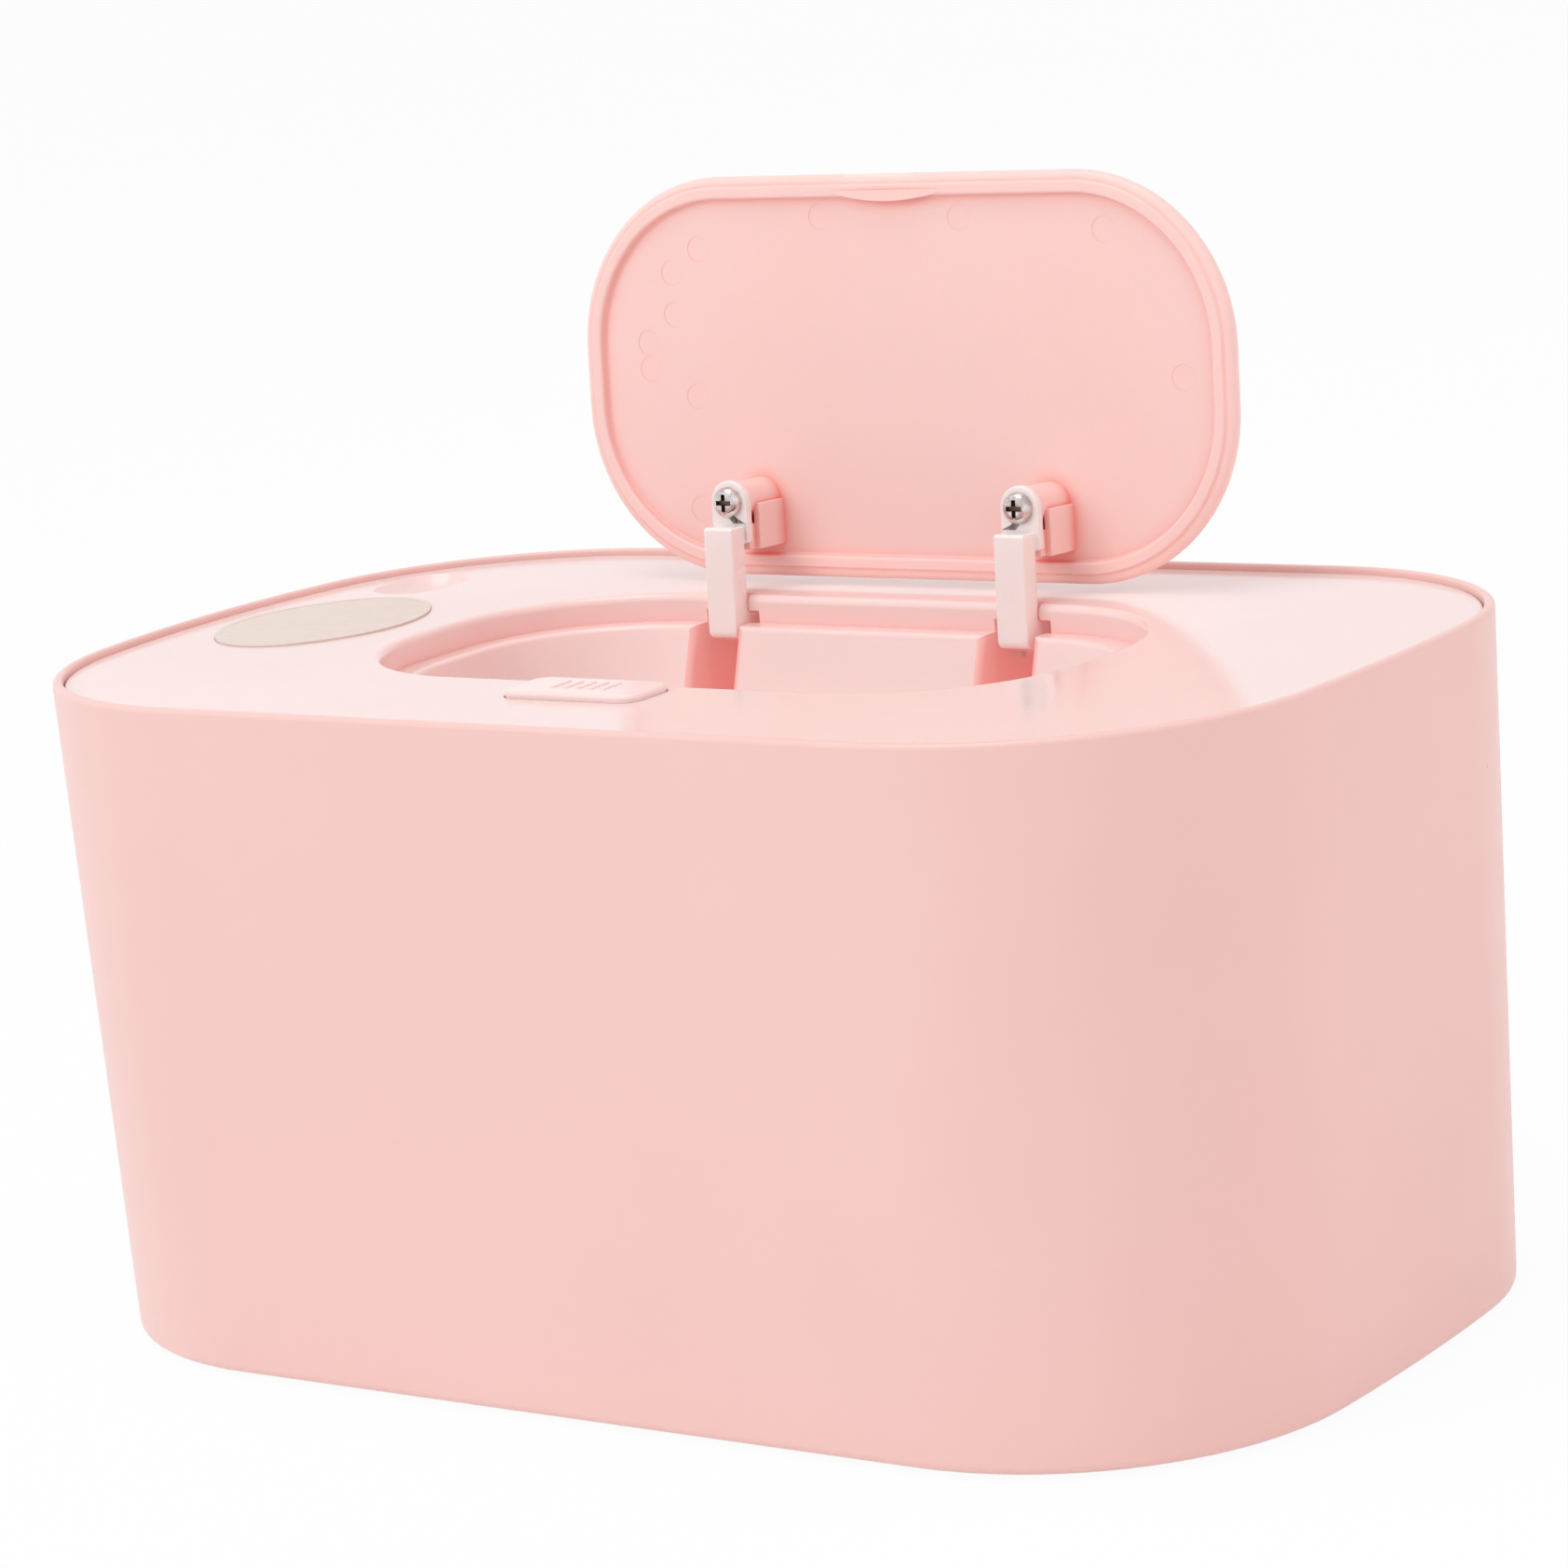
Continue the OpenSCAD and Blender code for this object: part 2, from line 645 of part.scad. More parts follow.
module top_panel() {
    color(panel_pink) difference() {
        union() {
            translate([0, 0, panel_under]) linear_extrude(panel_t) body_area(panel_area_grow);
            round_body() panel_skirt_profile();
            well_shell();
            pocket_shells();
            translate([-recess_x, recess_y, 0])
                slab(recess_pad, recess_l - recess_w + recess_pad, recess_pad / 2 - eps,
                     panel_z - recess_deep - recess_floor, panel_under + eps);
            at_bracket_screws() translate([0, 0, bracket_z])
                cylinder(d = 5, h = panel_under - bracket_z + eps, $fn = 48);
        }
        well_space();
        pocket_spaces();
        translate([0, well_y, 0]) slab(mouth_w, mouth_l, mouth_l / 2 - eps,
                                       floor_z - well_wall - 1, floor_z + 1);
        finger_dish();
        translate([-oval_x, oval_y, panel_z - oval_sink]) linear_extrude(1) oval_area(0.1);
        translate([-button_off, button_y, 0])
            slab(button_w + 2 * touch, button_l + 2 * touch, button_r + touch,
                 panel_under - 1, panel_z + 1);
        translate([-button_off - nose_w / 2 - touch, well_front - bolt_back - 2, nose_z - touch])
            cube([nose_w + 2 * touch, bolt_back + 2 + eps, nose_h + 2 * touch]);
        at_bracket_screws() translate([0, 0, bracket_z - eps])
            cylinder(d = bracket_screw_d + 2 * screw_play, h = 5, $fn = 32);
    }
}

module oval_plate() {
    color("#e4dcd6") translate([-oval_x, oval_y, panel_z - oval_sink]) linear_extrude(oval_t) oval_area(0);
}

// ---- hinge pins and springs ----
module hinge_pins() {
    color("silver") both_sides()
        translate([pocket_in - pocket_wall, pivot_y, pivot_z]) rotate([0, 90, 0])
            cylinder(d = pin_d, h = pocket_out - pocket_in + 2 * pocket_wall, $fn = 48);
}

// A round wire along a list of points, as one tube with six sides.
function cross_of(a, b) = [a[1] * b[2] - a[2] * b[1], a[2] * b[0] - a[0] * b[2], a[0] * b[1] - a[1] * b[0]];
function unit(v) = v / norm(v);
wire_sides = 6;
module wire(points, tangents, side_way, r) {
    n = len(points);
    rings = [for (i = [0 : n - 1])
        let (t = unit(tangents[i]), u = unit(cross_of(t, side_way)), v = cross_of(t, u))
            for (k = [0 : wire_sides - 1])
                points[i] + r * (cos(360 * k / wire_sides) * u + sin(360 * k / wire_sides) * v)];
    faces = concat(
        [[for (k = [wire_sides - 1 : -1 : 0]) k]],
        [for (i = [0 : n - 2], k = [0 : wire_sides - 1])
            let (a = i * wire_sides + k, b = i * wire_sides + (k + 1) % wire_sides)
                [a, b, b + wire_sides]],
        [for (i = [0 : n - 2], k = [0 : wire_sides - 1])
            let (a = i * wire_sides + k, b = i * wire_sides + (k + 1) % wire_sides)
                [a, b + wire_sides, a + wire_sides]],
        [[for (k = [0 : wire_sides - 1]) (n - 1) * wire_sides + k]]);
    polyhedron(rings, faces, convexity = 8);
}

// A coil along X: turns of radius r, pitch p, from angle a0, with both ends run out straight.
coil_steps = 12;
module torsion_coil(r, p, turns, leg, wire_r) {
    n = turns * coil_steps;
    helix = [for (i = [0 : n]) let (t = 360 * i / coil_steps) [p * i / coil_steps, r * cos(t), r * sin(t)]];
    slope = [for (i = [0 : n]) let (t = 360 * i / coil_steps) [p / (2 * PI), -r * sin(t), r * cos(t)]];
    wire(concat([helix[0] - leg * unit(slope[0])], helix, [helix[n] + leg * unit(slope[n])]),
         concat([slope[0]], slope, [slope[n]]), [1, 0, 0], wire_r);
}

spring_wire = 0.25;
spring_mean = pin_d / 2 + pin_play + spring_wire + 0.15;
module hinge_springs() {
    color("#a9abae") both_sides()
        translate([hinge_x - arm_w / 2 - 1.85, pivot_y, pivot_z])
            torsion_coil(spring_mean, 0.56, 2.5, 3, spring_wire);
}

// ---- push button, latch bolt and bracket ----
well_front = well_y - well_hy;
button_gap = 2;                  // from the button to the well's front wall
button_y = well_front - button_gap - touch - button_l / 2;
button_r = 2.5;
button_wall = 1.2;
button_flange = 1.2;
nose_w = 12;
nose_h = 0.7;
nose_play = 0.15;                // above and below the nose in the lid's slot
nose_skin = 0.65;                // height of the skirt that the nose holds
nose_z = ledge_z + rim_lift + nose_skin + nose_play;
nose_ramp = 0.2;                 // height of the nose's tip, in front of its ramp
nose_bite = button_travel + 0.2; // how far the bolt's nose stands out of the well's wall
bracket_z = panel_under - 5.8;
bracket_t = 1.5;
bolt_t = 2;
bolt_z = bracket_z + touch;
bolt_back = well_wall + 0.5;     // from the well's face back to the bolt's body
bolt_l = 9.6;
bracket_screw_d = 1.9;
tongue_w = 8;
tongue_t = 1.6;
tongue_play = 0.12;
tongue_y = button_y - 1.2;
tongue_z = bolt_z + bolt_t + button_travel + 0.2;

module at_bracket_screws() {
    for (x = [-1, 1]) translate([-button_off + x * (button_w / 2 + 5), button_y, 0]) children();
}

// The tongue leans back 45 degrees, so that pressing it down draws the bolt forwards.
module tongue_lean(grow, z0, z1) {
    rotate([90, 0, 90])
        linear_extrude(tongue_w + 2 * grow, center = true)
            polygon([[tongue_y - tongue_t / 2 - grow + tongue_z - z1, z1],
                     [tongue_y + tongue_t / 2 + grow + tongue_z - z1, z1],
                     [tongue_y + tongue_t / 2 + grow + tongue_z - z0, z0],
                     [tongue_y - tongue_t / 2 - grow + tongue_z - z0, z0]]);
}

button_top = panel_z + button_proud;
button_hollow = nose_z + nose_h + button_travel + touch;   // height of the hollow under the cap
button_foot = panel_under - 1.2;
grip_ribs = 5;
module push_button() {
    color(panel_pink) translate([-button_off, 0, 0]) {
        translate([0, button_y, 0]) {
            difference() {
                union() {
                    slab(button_w, button_l, button_r, button_foot, button_top);
                    slab(button_w + 2 * button_flange, button_l, button_r, button_foot, button_foot + 1);
                }
                translate([0, button_wall, 0])
                    slab(button_w - 2 * button_wall, button_l, button_r - button_wall,
                         button_foot - 1, button_hollow);
            }
            for (i = [0 : grip_ribs - 1])
                translate([2.2 * (i - (grip_ribs - 1) / 2) - 0.4, -2, button_top - eps])
                    cube([0.8, 4.4, 0.25]);
        }
        translate([-tongue_w / 2, tongue_y - tongue_t / 2, tongue_z])
            cube([tongue_w, tongue_t, button_hollow - tongue_z + eps]);
        tongue_lean(0, bolt_z - 0.4, tongue_z + eps);
    }
}

module latch_bolt() {
    color("#e9e7e6") translate([-button_off, 0, 0]) difference() {
        union() {
            translate([-nose_w / 2, well_front - bolt_back - bolt_l, bolt_z]) cube([nose_w, bolt_l, bolt_t]);
            translate([-nose_w / 2, well_front - bolt_back - 2, bolt_z])
                cube([nose_w, 2, nose_z + nose_h - bolt_z]);
            translate([-nose_w / 2, well_front, nose_z]) rotate([90, 0, 90]) linear_extrude(nose_w)
                polygon([[-bolt_back - eps, 0], [nose_bite, 0], [nose_bite, nose_ramp],
                         [nose_bite - nose_h + nose_ramp, nose_h], [-bolt_back - eps, nose_h]]);
        }
        tongue_lean(tongue_play, bolt_z - 1, bolt_z + bolt_t + 1);
    }
}

module latch_bracket() {
    half = button_w / 2 + 8;
    color("#e9e7e6") translate([-button_off, 0, 0]) difference() {
        union() {
            translate([-half, button_y - 5, bracket_z - bracket_t]) cube([2 * half, 9.4, bracket_t]);
            for (x = [-1, 1])
                translate([x * (nose_w / 2 + 0.9), button_y - 0.3, bracket_z - eps])
                    translate([-0.6, -4.7, 0]) cube([1.2, 9.4, bolt_t + touch]);
        }
        translate([-tongue_w / 2 - touch, tongue_y - 1, bracket_z - bracket_t - eps])
            cube([tongue_w + 2 * touch, 6.6, bracket_t + 2 * eps]);
        for (x = [-1, 1]) translate([x * (button_w / 2 + 5), button_y, bracket_z - bracket_t - eps])
            cylinder(d = bracket_screw_d + 0.4, h = bracket_t + 2 * eps, $fn = 32);
    }
}

module bracket_screws() {
    color("silver") at_bracket_screws() translate([0, 0, bracket_z - bracket_t])
        pan_screw(bracket_screw_d, bracket_t + 4.4, 3.8, 1.2);
}

spring_turns = 6;
module compression_coil(r, length, turns, wire_r) {
    n = turns * coil_steps;
    rise = length - 2 * wire_r;
    points = [for (i = [0 : n]) let (t = 360 * i / coil_steps)
        [r * cos(t), r * sin(t), wire_r + rise * i / n]];
    slopes = [for (i = [0 : n]) let (t = 360 * i / coil_steps)
        [-r * sin(t), r * cos(t), rise / (2 * PI * turns)]];
    wire(points, slopes, [0, 0, 1], wire_r);
}

module button_springs() {
    color("#a9abae") for (x = [-1, 1])
        translate([-button_off + x * (nose_w / 2 + 2.75), button_y + 0.6, bracket_z])
            compression_coil(0.85, button_hollow - bracket_z, spring_turns, 0.2);
}

// ---- lid, drawn closed and then opened ----
lid_hx = well_hx - lid_gap;
lid_hy = well_hy - (front_gap + rear_gap) / 2;
lid_r = well_r - lid_gap;
lid_y = well_y - (rear_gap - front_gap) / 2;
lid_rim_z = ledge_z + rim_lift;
lid_rim_r = 1.1;
lid_top_z = lid_rim_z + lid_h;
lid_under_z = lid_top_z - lid_plate_t;
ridge_in = -skirt_t - groove_w - skirt_t + 0.1;
groove_sink = 0.1;  // the groove is this much deeper than the lid's plate
screw_y = pivot_y - 19.9;
lug_front = pivot_z - 5.8;
lug_t = 1.5;
lug_back = lug_front + lug_t;
screw_boss_d = 5.8;
lug_end = screw_y + 6.3;
cradle_w = 4.8;      // inside the cradle, between its two side walls
cradle_wall = 1.2;
cradle_step = 1.2;   // the side walls stop this far behind the arm's lug
catch_w = 36;
catch_out = 1.3;

// Half section of the lid's edge: the outer rounding, the skirt, the groove and the ridge.
module lid_edge_profile() {
    difference() {
        polygon(concat(
            [[-band, lid_under_z], [ridge_in, lid_under_z], [ridge_in, lid_rim_z]],
            arc(-lid_rim_r, lid_rim_z + lid_rim_r, lid_rim_r, -90, 0),
            arc(-lid_edge_r, lid_top_z - lid_edge_r, lid_edge_r, 0, 90),
            [[-band, lid_top_z]]));
        translate([-skirt_t - groove_w, lid_rim_z - 1])
            square([groove_w, lid_under_z - lid_rim_z + 1 + groove_sink]);
    }
}

catch_sag_r = (pow(catch_w / 2, 2) + pow(catch_out, 2)) / (2 * catch_out);
catch_y = lid_y - lid_hy - ridge_in;       // inner face of the ridge at the free edge
hinge_screw_d = 2.5;
mark_d = 4;
marks = [[-13.1, 24.5], [12, 24.1], [37.1, 22], [49.7, 0.1], [-41.3, 16.2], [-41.2, 9.7],
         [-46.5, 5.3], [-46.3, 1.2], [-37.7, -3.1], [-36.1, 19.8], [-38, -20.7]];

module lid_body() {
    difference() {
        union() {
            translate([0, lid_y, 0])
                round_rect_solid(lid_hx, lid_hy, lid_r, lid_under_z, lid_top_z) lid_edge_profile();
            intersection() {
                translate([0, catch_y + catch_out - catch_sag_r, lid_rim_z])
                    cylinder(r = catch_sag_r, h = lid_under_z - lid_rim_z + eps, $fn = 360);
                translate([-catch_w / 2 - 4, catch_y - 0.5, lid_rim_z])
                    cube([catch_w + 8, catch_out + 1, lid_under_z - lid_rim_z + eps]);
            }
            both_sides() {
                translate([hinge_x, screw_y, lug_back])
                    cylinder(d = screw_boss_d, h = lid_under_z - lug_back + eps, $fn = 48);
                translate([hinge_x - cradle_w / 2 - eps, lug_end - 2.8, lug_back])
                    cube([cradle_w + 2 * eps, 4, lid_under_z - lug_back + eps]);
                for (x = [-cradle_w / 2 - cradle_wall, cradle_w / 2])
                    translate([hinge_x + x, screw_y + 0.4, lug_back + cradle_step])
                        cube([cradle_wall, lug_end + 0.8 - screw_y, lid_under_z - lug_back - cradle_step + eps]);
            }
        }
        both_sides() translate([hinge_x, screw_y, lug_back - eps])
            cylinder(d = hinge_screw_d + 2 * screw_play, h = lid_under_z - lug_back, $fn = 32);
        translate([-button_off - nose_w / 2 - 0.5, lid_y - lid_hy - 1, nose_z - nose_play])
            cube([nose_w + 1, 1 + skirt_t + eps, nose_h + 2 * nose_play]);
        for (m = marks) translate([m[0], lid_y - m[1], lid_under_z - 1])
            cylinder(d = mark_d, h = 1 + mark_sink, $fn = 48);
    }
}
mark_sink = 0.1;

module flip_lid() {
    color(lid_pink) opened() lid_body();
}

// ---- hinge arms ----
arm_out = pivot_z - 9.3;     // outer face of the bar, closed
arm_eye_r = 2.7;
arm_tip = screw_y + 3.6;     // the bar's end beside the lug
arm_heel = pivot_y + 0.85;
heel_r = 1.2;
lug_r = 3.3;

// Side view of the gooseneck, closed: the eye, the neck that drops from it and the bar.
module arm_section() {
    difference() {
        union() {
            translate([pivot_y, pivot_z]) circle(arm_eye_r, $fn = 48);
            polygon(concat(
                [[arm_tip, lug_front], [arm_tip, arm_out + 0.4], [arm_tip + 0.4, arm_out]],
                arc(arm_heel - heel_r, arm_out + heel_r, heel_r, -90, 0),
                [[pivot_y + arm_eye_r, pivot_z],
                 [pivot_y - arm_eye_r, pivot_z],
                 [pivot_y - arm_eye_r, lug_front + 0.8],
                 [pivot_y - arm_eye_r - 0.8, lug_front]]));
        }
        translate([pivot_y, pivot_z]) circle(pin_d / 2 + pin_play, $fn = 48);
    }
}

module hinge_arm() {
    translate([hinge_x, 0, 0]) {
        difference() {
            union() {
                translate([-arm_w / 2, 0, 0]) rotate([90, 0, 90]) linear_extrude(arm_w) arm_section();
                translate([0, screw_y, lug_front]) cylinder(r = lug_r, h = lug_back - lug_front, $fn = 48);
                translate([-lug_r, screw_y, lug_front])
                    cube([2 * lug_r, lug_end - screw_y, lug_back - lug_front]);
            }
            translate([0, screw_y, lug_front - eps])
                cylinder(d = hinge_screw_d + 2 * screw_play, h = lug_back - lug_front + 2 * eps, $fn = 32);
        }
    }
}

module left_hinge_arm() {
    color(milky) mirror([1, 0, 0]) opened() hinge_arm();
}

module right_hinge_arm() {
    color(milky) opened() hinge_arm();
}

module hinge_screws() {
    color("silver") both_sides() opened()
        translate([hinge_x, screw_y, lug_front])
            pan_screw(hinge_screw_d, lid_under_z - lug_front - 1, screw_head_d, 1.5);
}

outer_shell();
base_plate();
rubber_feet();
base_screws();
wipe_tank();
tank_gasket();
heater_film();
insulation_pad();
temperature_sensor();
thermal_fuse();
control_board();
board_screws();
power_socket();
heater_leads();
top_panel();
oval_plate();
hinge_pins();
hinge_springs();
latch_bracket();
bracket_screws();
button_springs();
flip_lid();
left_hinge_arm();
right_hinge_arm();
hinge_screws();
push_button();
latch_bolt();
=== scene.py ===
# %% [markdown]
# # A baby wipe warmer, dressed for its photograph
# The solids come from CAD as a fixed frame. This lesson lays smooth, rounded skins over the
# ones that the eye rests on, gives every part a finish of its own, and sets camera and lamps.
# Sizes are written in millimetres, as on a maker's drawing, and turned to metres when used.

# %% Load the frame
import math
import bmesh
import bpy
from mathutils import Matrix, Vector


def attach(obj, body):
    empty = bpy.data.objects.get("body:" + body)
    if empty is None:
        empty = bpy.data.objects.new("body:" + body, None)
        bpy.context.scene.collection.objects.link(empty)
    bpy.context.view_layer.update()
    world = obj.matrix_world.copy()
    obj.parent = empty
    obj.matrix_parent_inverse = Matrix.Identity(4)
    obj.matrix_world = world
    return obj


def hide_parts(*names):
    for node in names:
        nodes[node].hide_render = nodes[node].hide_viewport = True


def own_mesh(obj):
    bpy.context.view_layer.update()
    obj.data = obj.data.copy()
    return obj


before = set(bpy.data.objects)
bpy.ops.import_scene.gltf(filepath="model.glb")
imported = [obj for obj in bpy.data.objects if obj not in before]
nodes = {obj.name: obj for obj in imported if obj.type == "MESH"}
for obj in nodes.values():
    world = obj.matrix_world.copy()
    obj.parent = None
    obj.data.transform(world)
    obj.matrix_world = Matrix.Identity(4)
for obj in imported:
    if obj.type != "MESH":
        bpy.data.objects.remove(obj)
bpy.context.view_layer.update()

# %% [markdown]
# ## Small helpers
# An operator acts on whatever is selected, so each piece starts from an empty selection. Faces
# and edges are then picked by where they are, which is what a hand does with the mouse.

# %% Units and selection
MM = 0.001


def mm(x, y, z):
    return Vector((x, y, z)) * MM


def nothing_selected():
    if bpy.context.mode != "OBJECT":
        bpy.ops.object.mode_set(mode="OBJECT")
    bpy.ops.object.select_all(action="DESELECT")


def only(piece):
    nothing_selected()
    piece.select_set(True)
    bpy.context.view_layer.objects.active = piece


def edit(piece):
    only(piece)
    bpy.ops.object.mode_set(mode="EDIT")
    bpy.ops.mesh.select_mode(type="VERT")


def pick(piece, test, kind="faces"):
    """Selects the faces, edges or verts that pass the test, and nothing else."""
    bpy.ops.mesh.select_mode(type={"faces": "FACE", "edges": "EDGE", "verts": "VERT"}[kind])
    bpy.ops.mesh.select_all(action="DESELECT")
    cage = bmesh.from_edit_mesh(piece.data)
    for part in getattr(cage, kind):
        if test(part):
            part.select = True
    cage.select_flush_mode()
    bmesh.update_edit_mesh(piece.data)


def close_up():
    """Turns every face outwards and leaves the finished solid."""
    bpy.ops.mesh.select_all(action="SELECT")
    bpy.ops.mesh.normals_make_consistent(inside=False)
    nothing_selected()


def apply(piece, kind, **settings):
    """Adds one modifier and applies it at once."""
    only(piece)
    modifier = piece.modifiers.new(kind.lower(), kind)
    for name, value in settings.items():
        setattr(modifier, name, value)
    bpy.ops.object.modifier_apply(modifier=modifier.name)


# %% [markdown]
# ## Carrying a profile round an outline
# Moulded shells have the same wall all the way round. The profile is drawn once as a line of
# points, then extruded along the straights and spun round the corners until it meets itself.
# With no window the spin turns clockwise for a plus angle, so the angle gets a minus sign.

# %% Profile tools
def arc(x, y, r, a, b, steps):
    turns = [math.radians(a + (b - a) * i / steps) for i in range(steps + 1)]
    return [(x + r * math.cos(t), y + r * math.sin(t)) for t in turns]


def first_point(name, place):
    """A plane shrunk to one point, from which a line is drawn."""
    nothing_selected()
    bpy.ops.mesh.primitive_plane_add(size=2 * MM, location=place)
    piece = bpy.context.object
    piece.name = piece.data.name = name
    bpy.ops.object.transform_apply(location=True, rotation=False, scale=False)
    edit(piece)
    bpy.ops.mesh.select_all(action="SELECT")
    bpy.ops.mesh.merge(type="CENTER")
    return piece


def draw_line(name, points, closed=False):
    piece = first_point(name, points[0])
    for here, there in zip(points, points[1:]):
        bpy.ops.mesh.extrude_vertices_move(TRANSFORM_OT_translate={"value": there - here})
    if closed:
        ends = (points[0], points[-1])
        pick(piece, lambda v: min((v.co - e).length for e in ends) < 1e-7, "verts")
        bpy.ops.mesh.edge_face_add()
    bpy.ops.mesh.select_all(action="SELECT")
    return piece


def carry(piece, legs):
    """Carries the selected line along straights and round corners, and welds the seam."""
    for leg in legs:
        if len(leg) == 1:
            bpy.ops.mesh.extrude_region_move(TRANSFORM_OT_translate={"value": leg[0]})
        else:
            centre, angle, steps = leg
            bpy.ops.mesh.spin(steps=steps, angle=-math.radians(angle), center=centre, axis=(0, 0, 1))
    bpy.ops.mesh.select_all(action="SELECT")
    bpy.ops.mesh.remove_doubles(threshold=0.000004)


def round_ring(name, profile, half_x, half_y, radius, y, steps=14):
    """A profile carried round a rectangle with round corners. Its x is measured outwards."""
    piece = draw_line(name, [mm(half_x - radius, half_y + d + y, z) for d, z in profile])
    sx, sy = half_x - radius, half_y - radius
    legs = []
    for cx, cy, step_x, step_y in ((-sx, sy, -2 * sx, 0), (-sx, -sy, 0, -2 * sy),
                                   (sx, -sy, 2 * sx, 0), (sx, sy, 0, 2 * sy)):
        if abs(step_x) + abs(step_y) > 1e-6:
            legs.append((mm(step_x, step_y, 0),))
        legs.append((mm(cx, cy + y, 0), 90, steps))
    carry(piece, legs)
    return piece


def close_rings(piece):
    """Caps each open loop by itself, the lower one first, and leaves a solid."""
    cage = bmesh.from_edit_mesh(piece.data)
    levels = sorted({round(v.co.z, 6) for e in cage.edges if e.is_boundary for v in e.verts})
    for level in levels:
        pick(piece, lambda e: e.is_boundary and all(abs(v.co.z - level) < 1e-6 for v in e.verts),
             "edges")
        bpy.ops.mesh.edge_face_add()
    close_up()


# %% Basic solids
def shift(piece, x, y, z):
    piece.data.transform(Matrix.Translation(mm(x, y, z)))


def box(name, low, high, bevel=0.0):
    nothing_selected()
    low, high = mm(*low), mm(*high)
    bpy.ops.mesh.primitive_cube_add(size=1, location=(low + high) / 2)
    piece = bpy.context.object
    piece.scale = high - low
    bpy.ops.object.transform_apply()
    piece.name = piece.data.name = name
    if bevel:
        apply(piece, "BEVEL", width=bevel * MM, segments=3)
    return piece


def drum(name, place, radius, depth, sides=48, turn=(0, 0, 0)):
    nothing_selected()
    bpy.ops.mesh.primitive_cylinder_add(vertices=sides, radius=radius * MM, depth=depth * MM,
                                        location=mm(*place), rotation=turn)
    piece = bpy.context.object
    bpy.ops.object.transform_apply()
    piece.name = piece.data.name = name
    return piece


def slab(name, x, y, w, l, r, z0, z1, steps=10):
    """An upright plate with round corners."""
    piece = round_ring(name, [(0, z0), (0, z1)], w / 2, l / 2, r, y, steps=steps)
    close_rings(piece)
    shift(piece, x, 0, 0)
    return piece


def extruded(name, points, way):
    """An outline that is filled and drawn out to a solid."""
    piece = draw_line(name, points, closed=True)
    bpy.ops.mesh.edge_face_add()
    bpy.ops.mesh.extrude_region_move(TRANSFORM_OT_translate={"value": way})
    close_up()
    return piece


def prism(name, x, width, outline):
    """A side view in y and z, extruded along x."""
    return extruded(name, [mm(x, y, z) for y, z in outline], mm(width, 0, 0))


# %% Cutting, joining and smoothing
def combine(piece, other, how):
    """Cuts, joins or crosses two solids and throws the tool away."""
    apply(piece, "BOOLEAN", operation=how, object=other, solver="EXACT", material_mode="TRANSFER")
    bpy.data.objects.remove(other)


def marked(piece, mark):
    """Faces cut by this tool carry its mark, which is later swapped for a finish."""
    piece.data.materials.append(mark)
    return piece


def round_edges(piece, test, width, segments):
    """Bevels the edges that pass the test."""
    edit(piece)
    pick(piece, test, "edges")
    bpy.ops.mesh.bevel(offset=width * MM, segments=segments, affect="EDGES")
    nothing_selected()


def soften(piece, width, segments, angle=50):
    """Bevels every edge that is sharper than the angle."""
    apply(piece, "BEVEL", width=width * MM, segments=segments, limit_method="ANGLE",
          angle_limit=math.radians(angle))


def smooth(piece, angle):
    """Smooth shading that keeps the sharp edges and lets the broad faces lead."""
    only(piece)
    bpy.ops.object.shade_smooth_by_angle(angle=math.radians(angle))
    apply(piece, "WEIGHTED_NORMAL", keep_sharp=True, weight=60)


# %% Moving, copying and grouping
def turned(piece, place, degrees, axis):
    """Turns a whole piece about a point, by the right-hand rule."""
    piece.data.transform(Matrix.Translation(place)
                         @ Matrix.Rotation(math.radians(degrees), 4, axis)
                         @ Matrix.Translation(-place))


def copied(piece, name):
    """The same piece again, with a mesh of its own."""
    twin = piece.copy()
    twin.data = piece.data.copy()
    twin.name = twin.data.name = name
    bpy.context.scene.collection.objects.link(twin)
    return twin


def mirrored(piece, name):
    """The same piece for the other side."""
    twin = copied(piece, name)
    edit(twin)
    bpy.ops.mesh.select_all(action="SELECT")
    bpy.ops.transform.mirror(constraint_axis=(True, False, False), center_override=(0, 0, 0))
    close_up()
    return twin


def joined(pieces, name):
    nothing_selected()
    for piece in pieces:
        piece.select_set(True)
    bpy.context.view_layer.objects.active = pieces[0]
    bpy.ops.object.join()
    pieces[0].name = pieces[0].data.name = name
    return pieces[0]


# %% [markdown]
# ## The outline of the body
# Seen from above, the body is a rectangle with large round corners whose short sides bow out a
# little. A moulding is never quite even: each corner has its own radius and the right side is
# the flatter one. Every arc meets the next without a kink.

# %% Body outline
half_w, half_l = 104.92, 64.47
left_r, right_r = 170.0, 420.0
corner_steps, side_steps = 22, 12


def corner(r, side_r, way_x, way_y):
    """The centre of a corner arc that touches the side arc, and the side arc's share of the turn."""
    turn = math.asin((half_l - r) / (side_r - r))
    x = half_w - side_r + (side_r - r) * math.cos(turn)
    return way_x * x, way_y * (half_l - r), math.degrees(turn)


corners = [corner(44.0, left_r, -1, 1), corner(43.4, left_r, -1, -1),
           corner(46.0, right_r, 1, -1), corner(41.4, right_r, 1, 1)]


def body_ring(name, profile, closed):
    """A profile carried round the body. Its x is measured outwards from the rim's outline."""
    rear_left, front_left, front_right, rear_right = corners
    piece = draw_line(name, [mm(rear_right[0], half_l + d, z) for d, z in profile], closed)
    legs = []
    for last, a, b, side_x in ((rear_right, rear_left, front_left, left_r - half_w),
                               (front_left, front_right, rear_right, half_w - right_r)):
        legs += [(mm(a[0] - last[0], 0, 0),), (mm(a[0], a[1], 0), 90 - a[2], corner_steps),
                 (mm(side_x, 0, 0), a[2] + b[2], side_steps),
                 (mm(b[0], b[1], 0), 90 - b[2], corner_steps)]
    carry(piece, legs)
    return piece


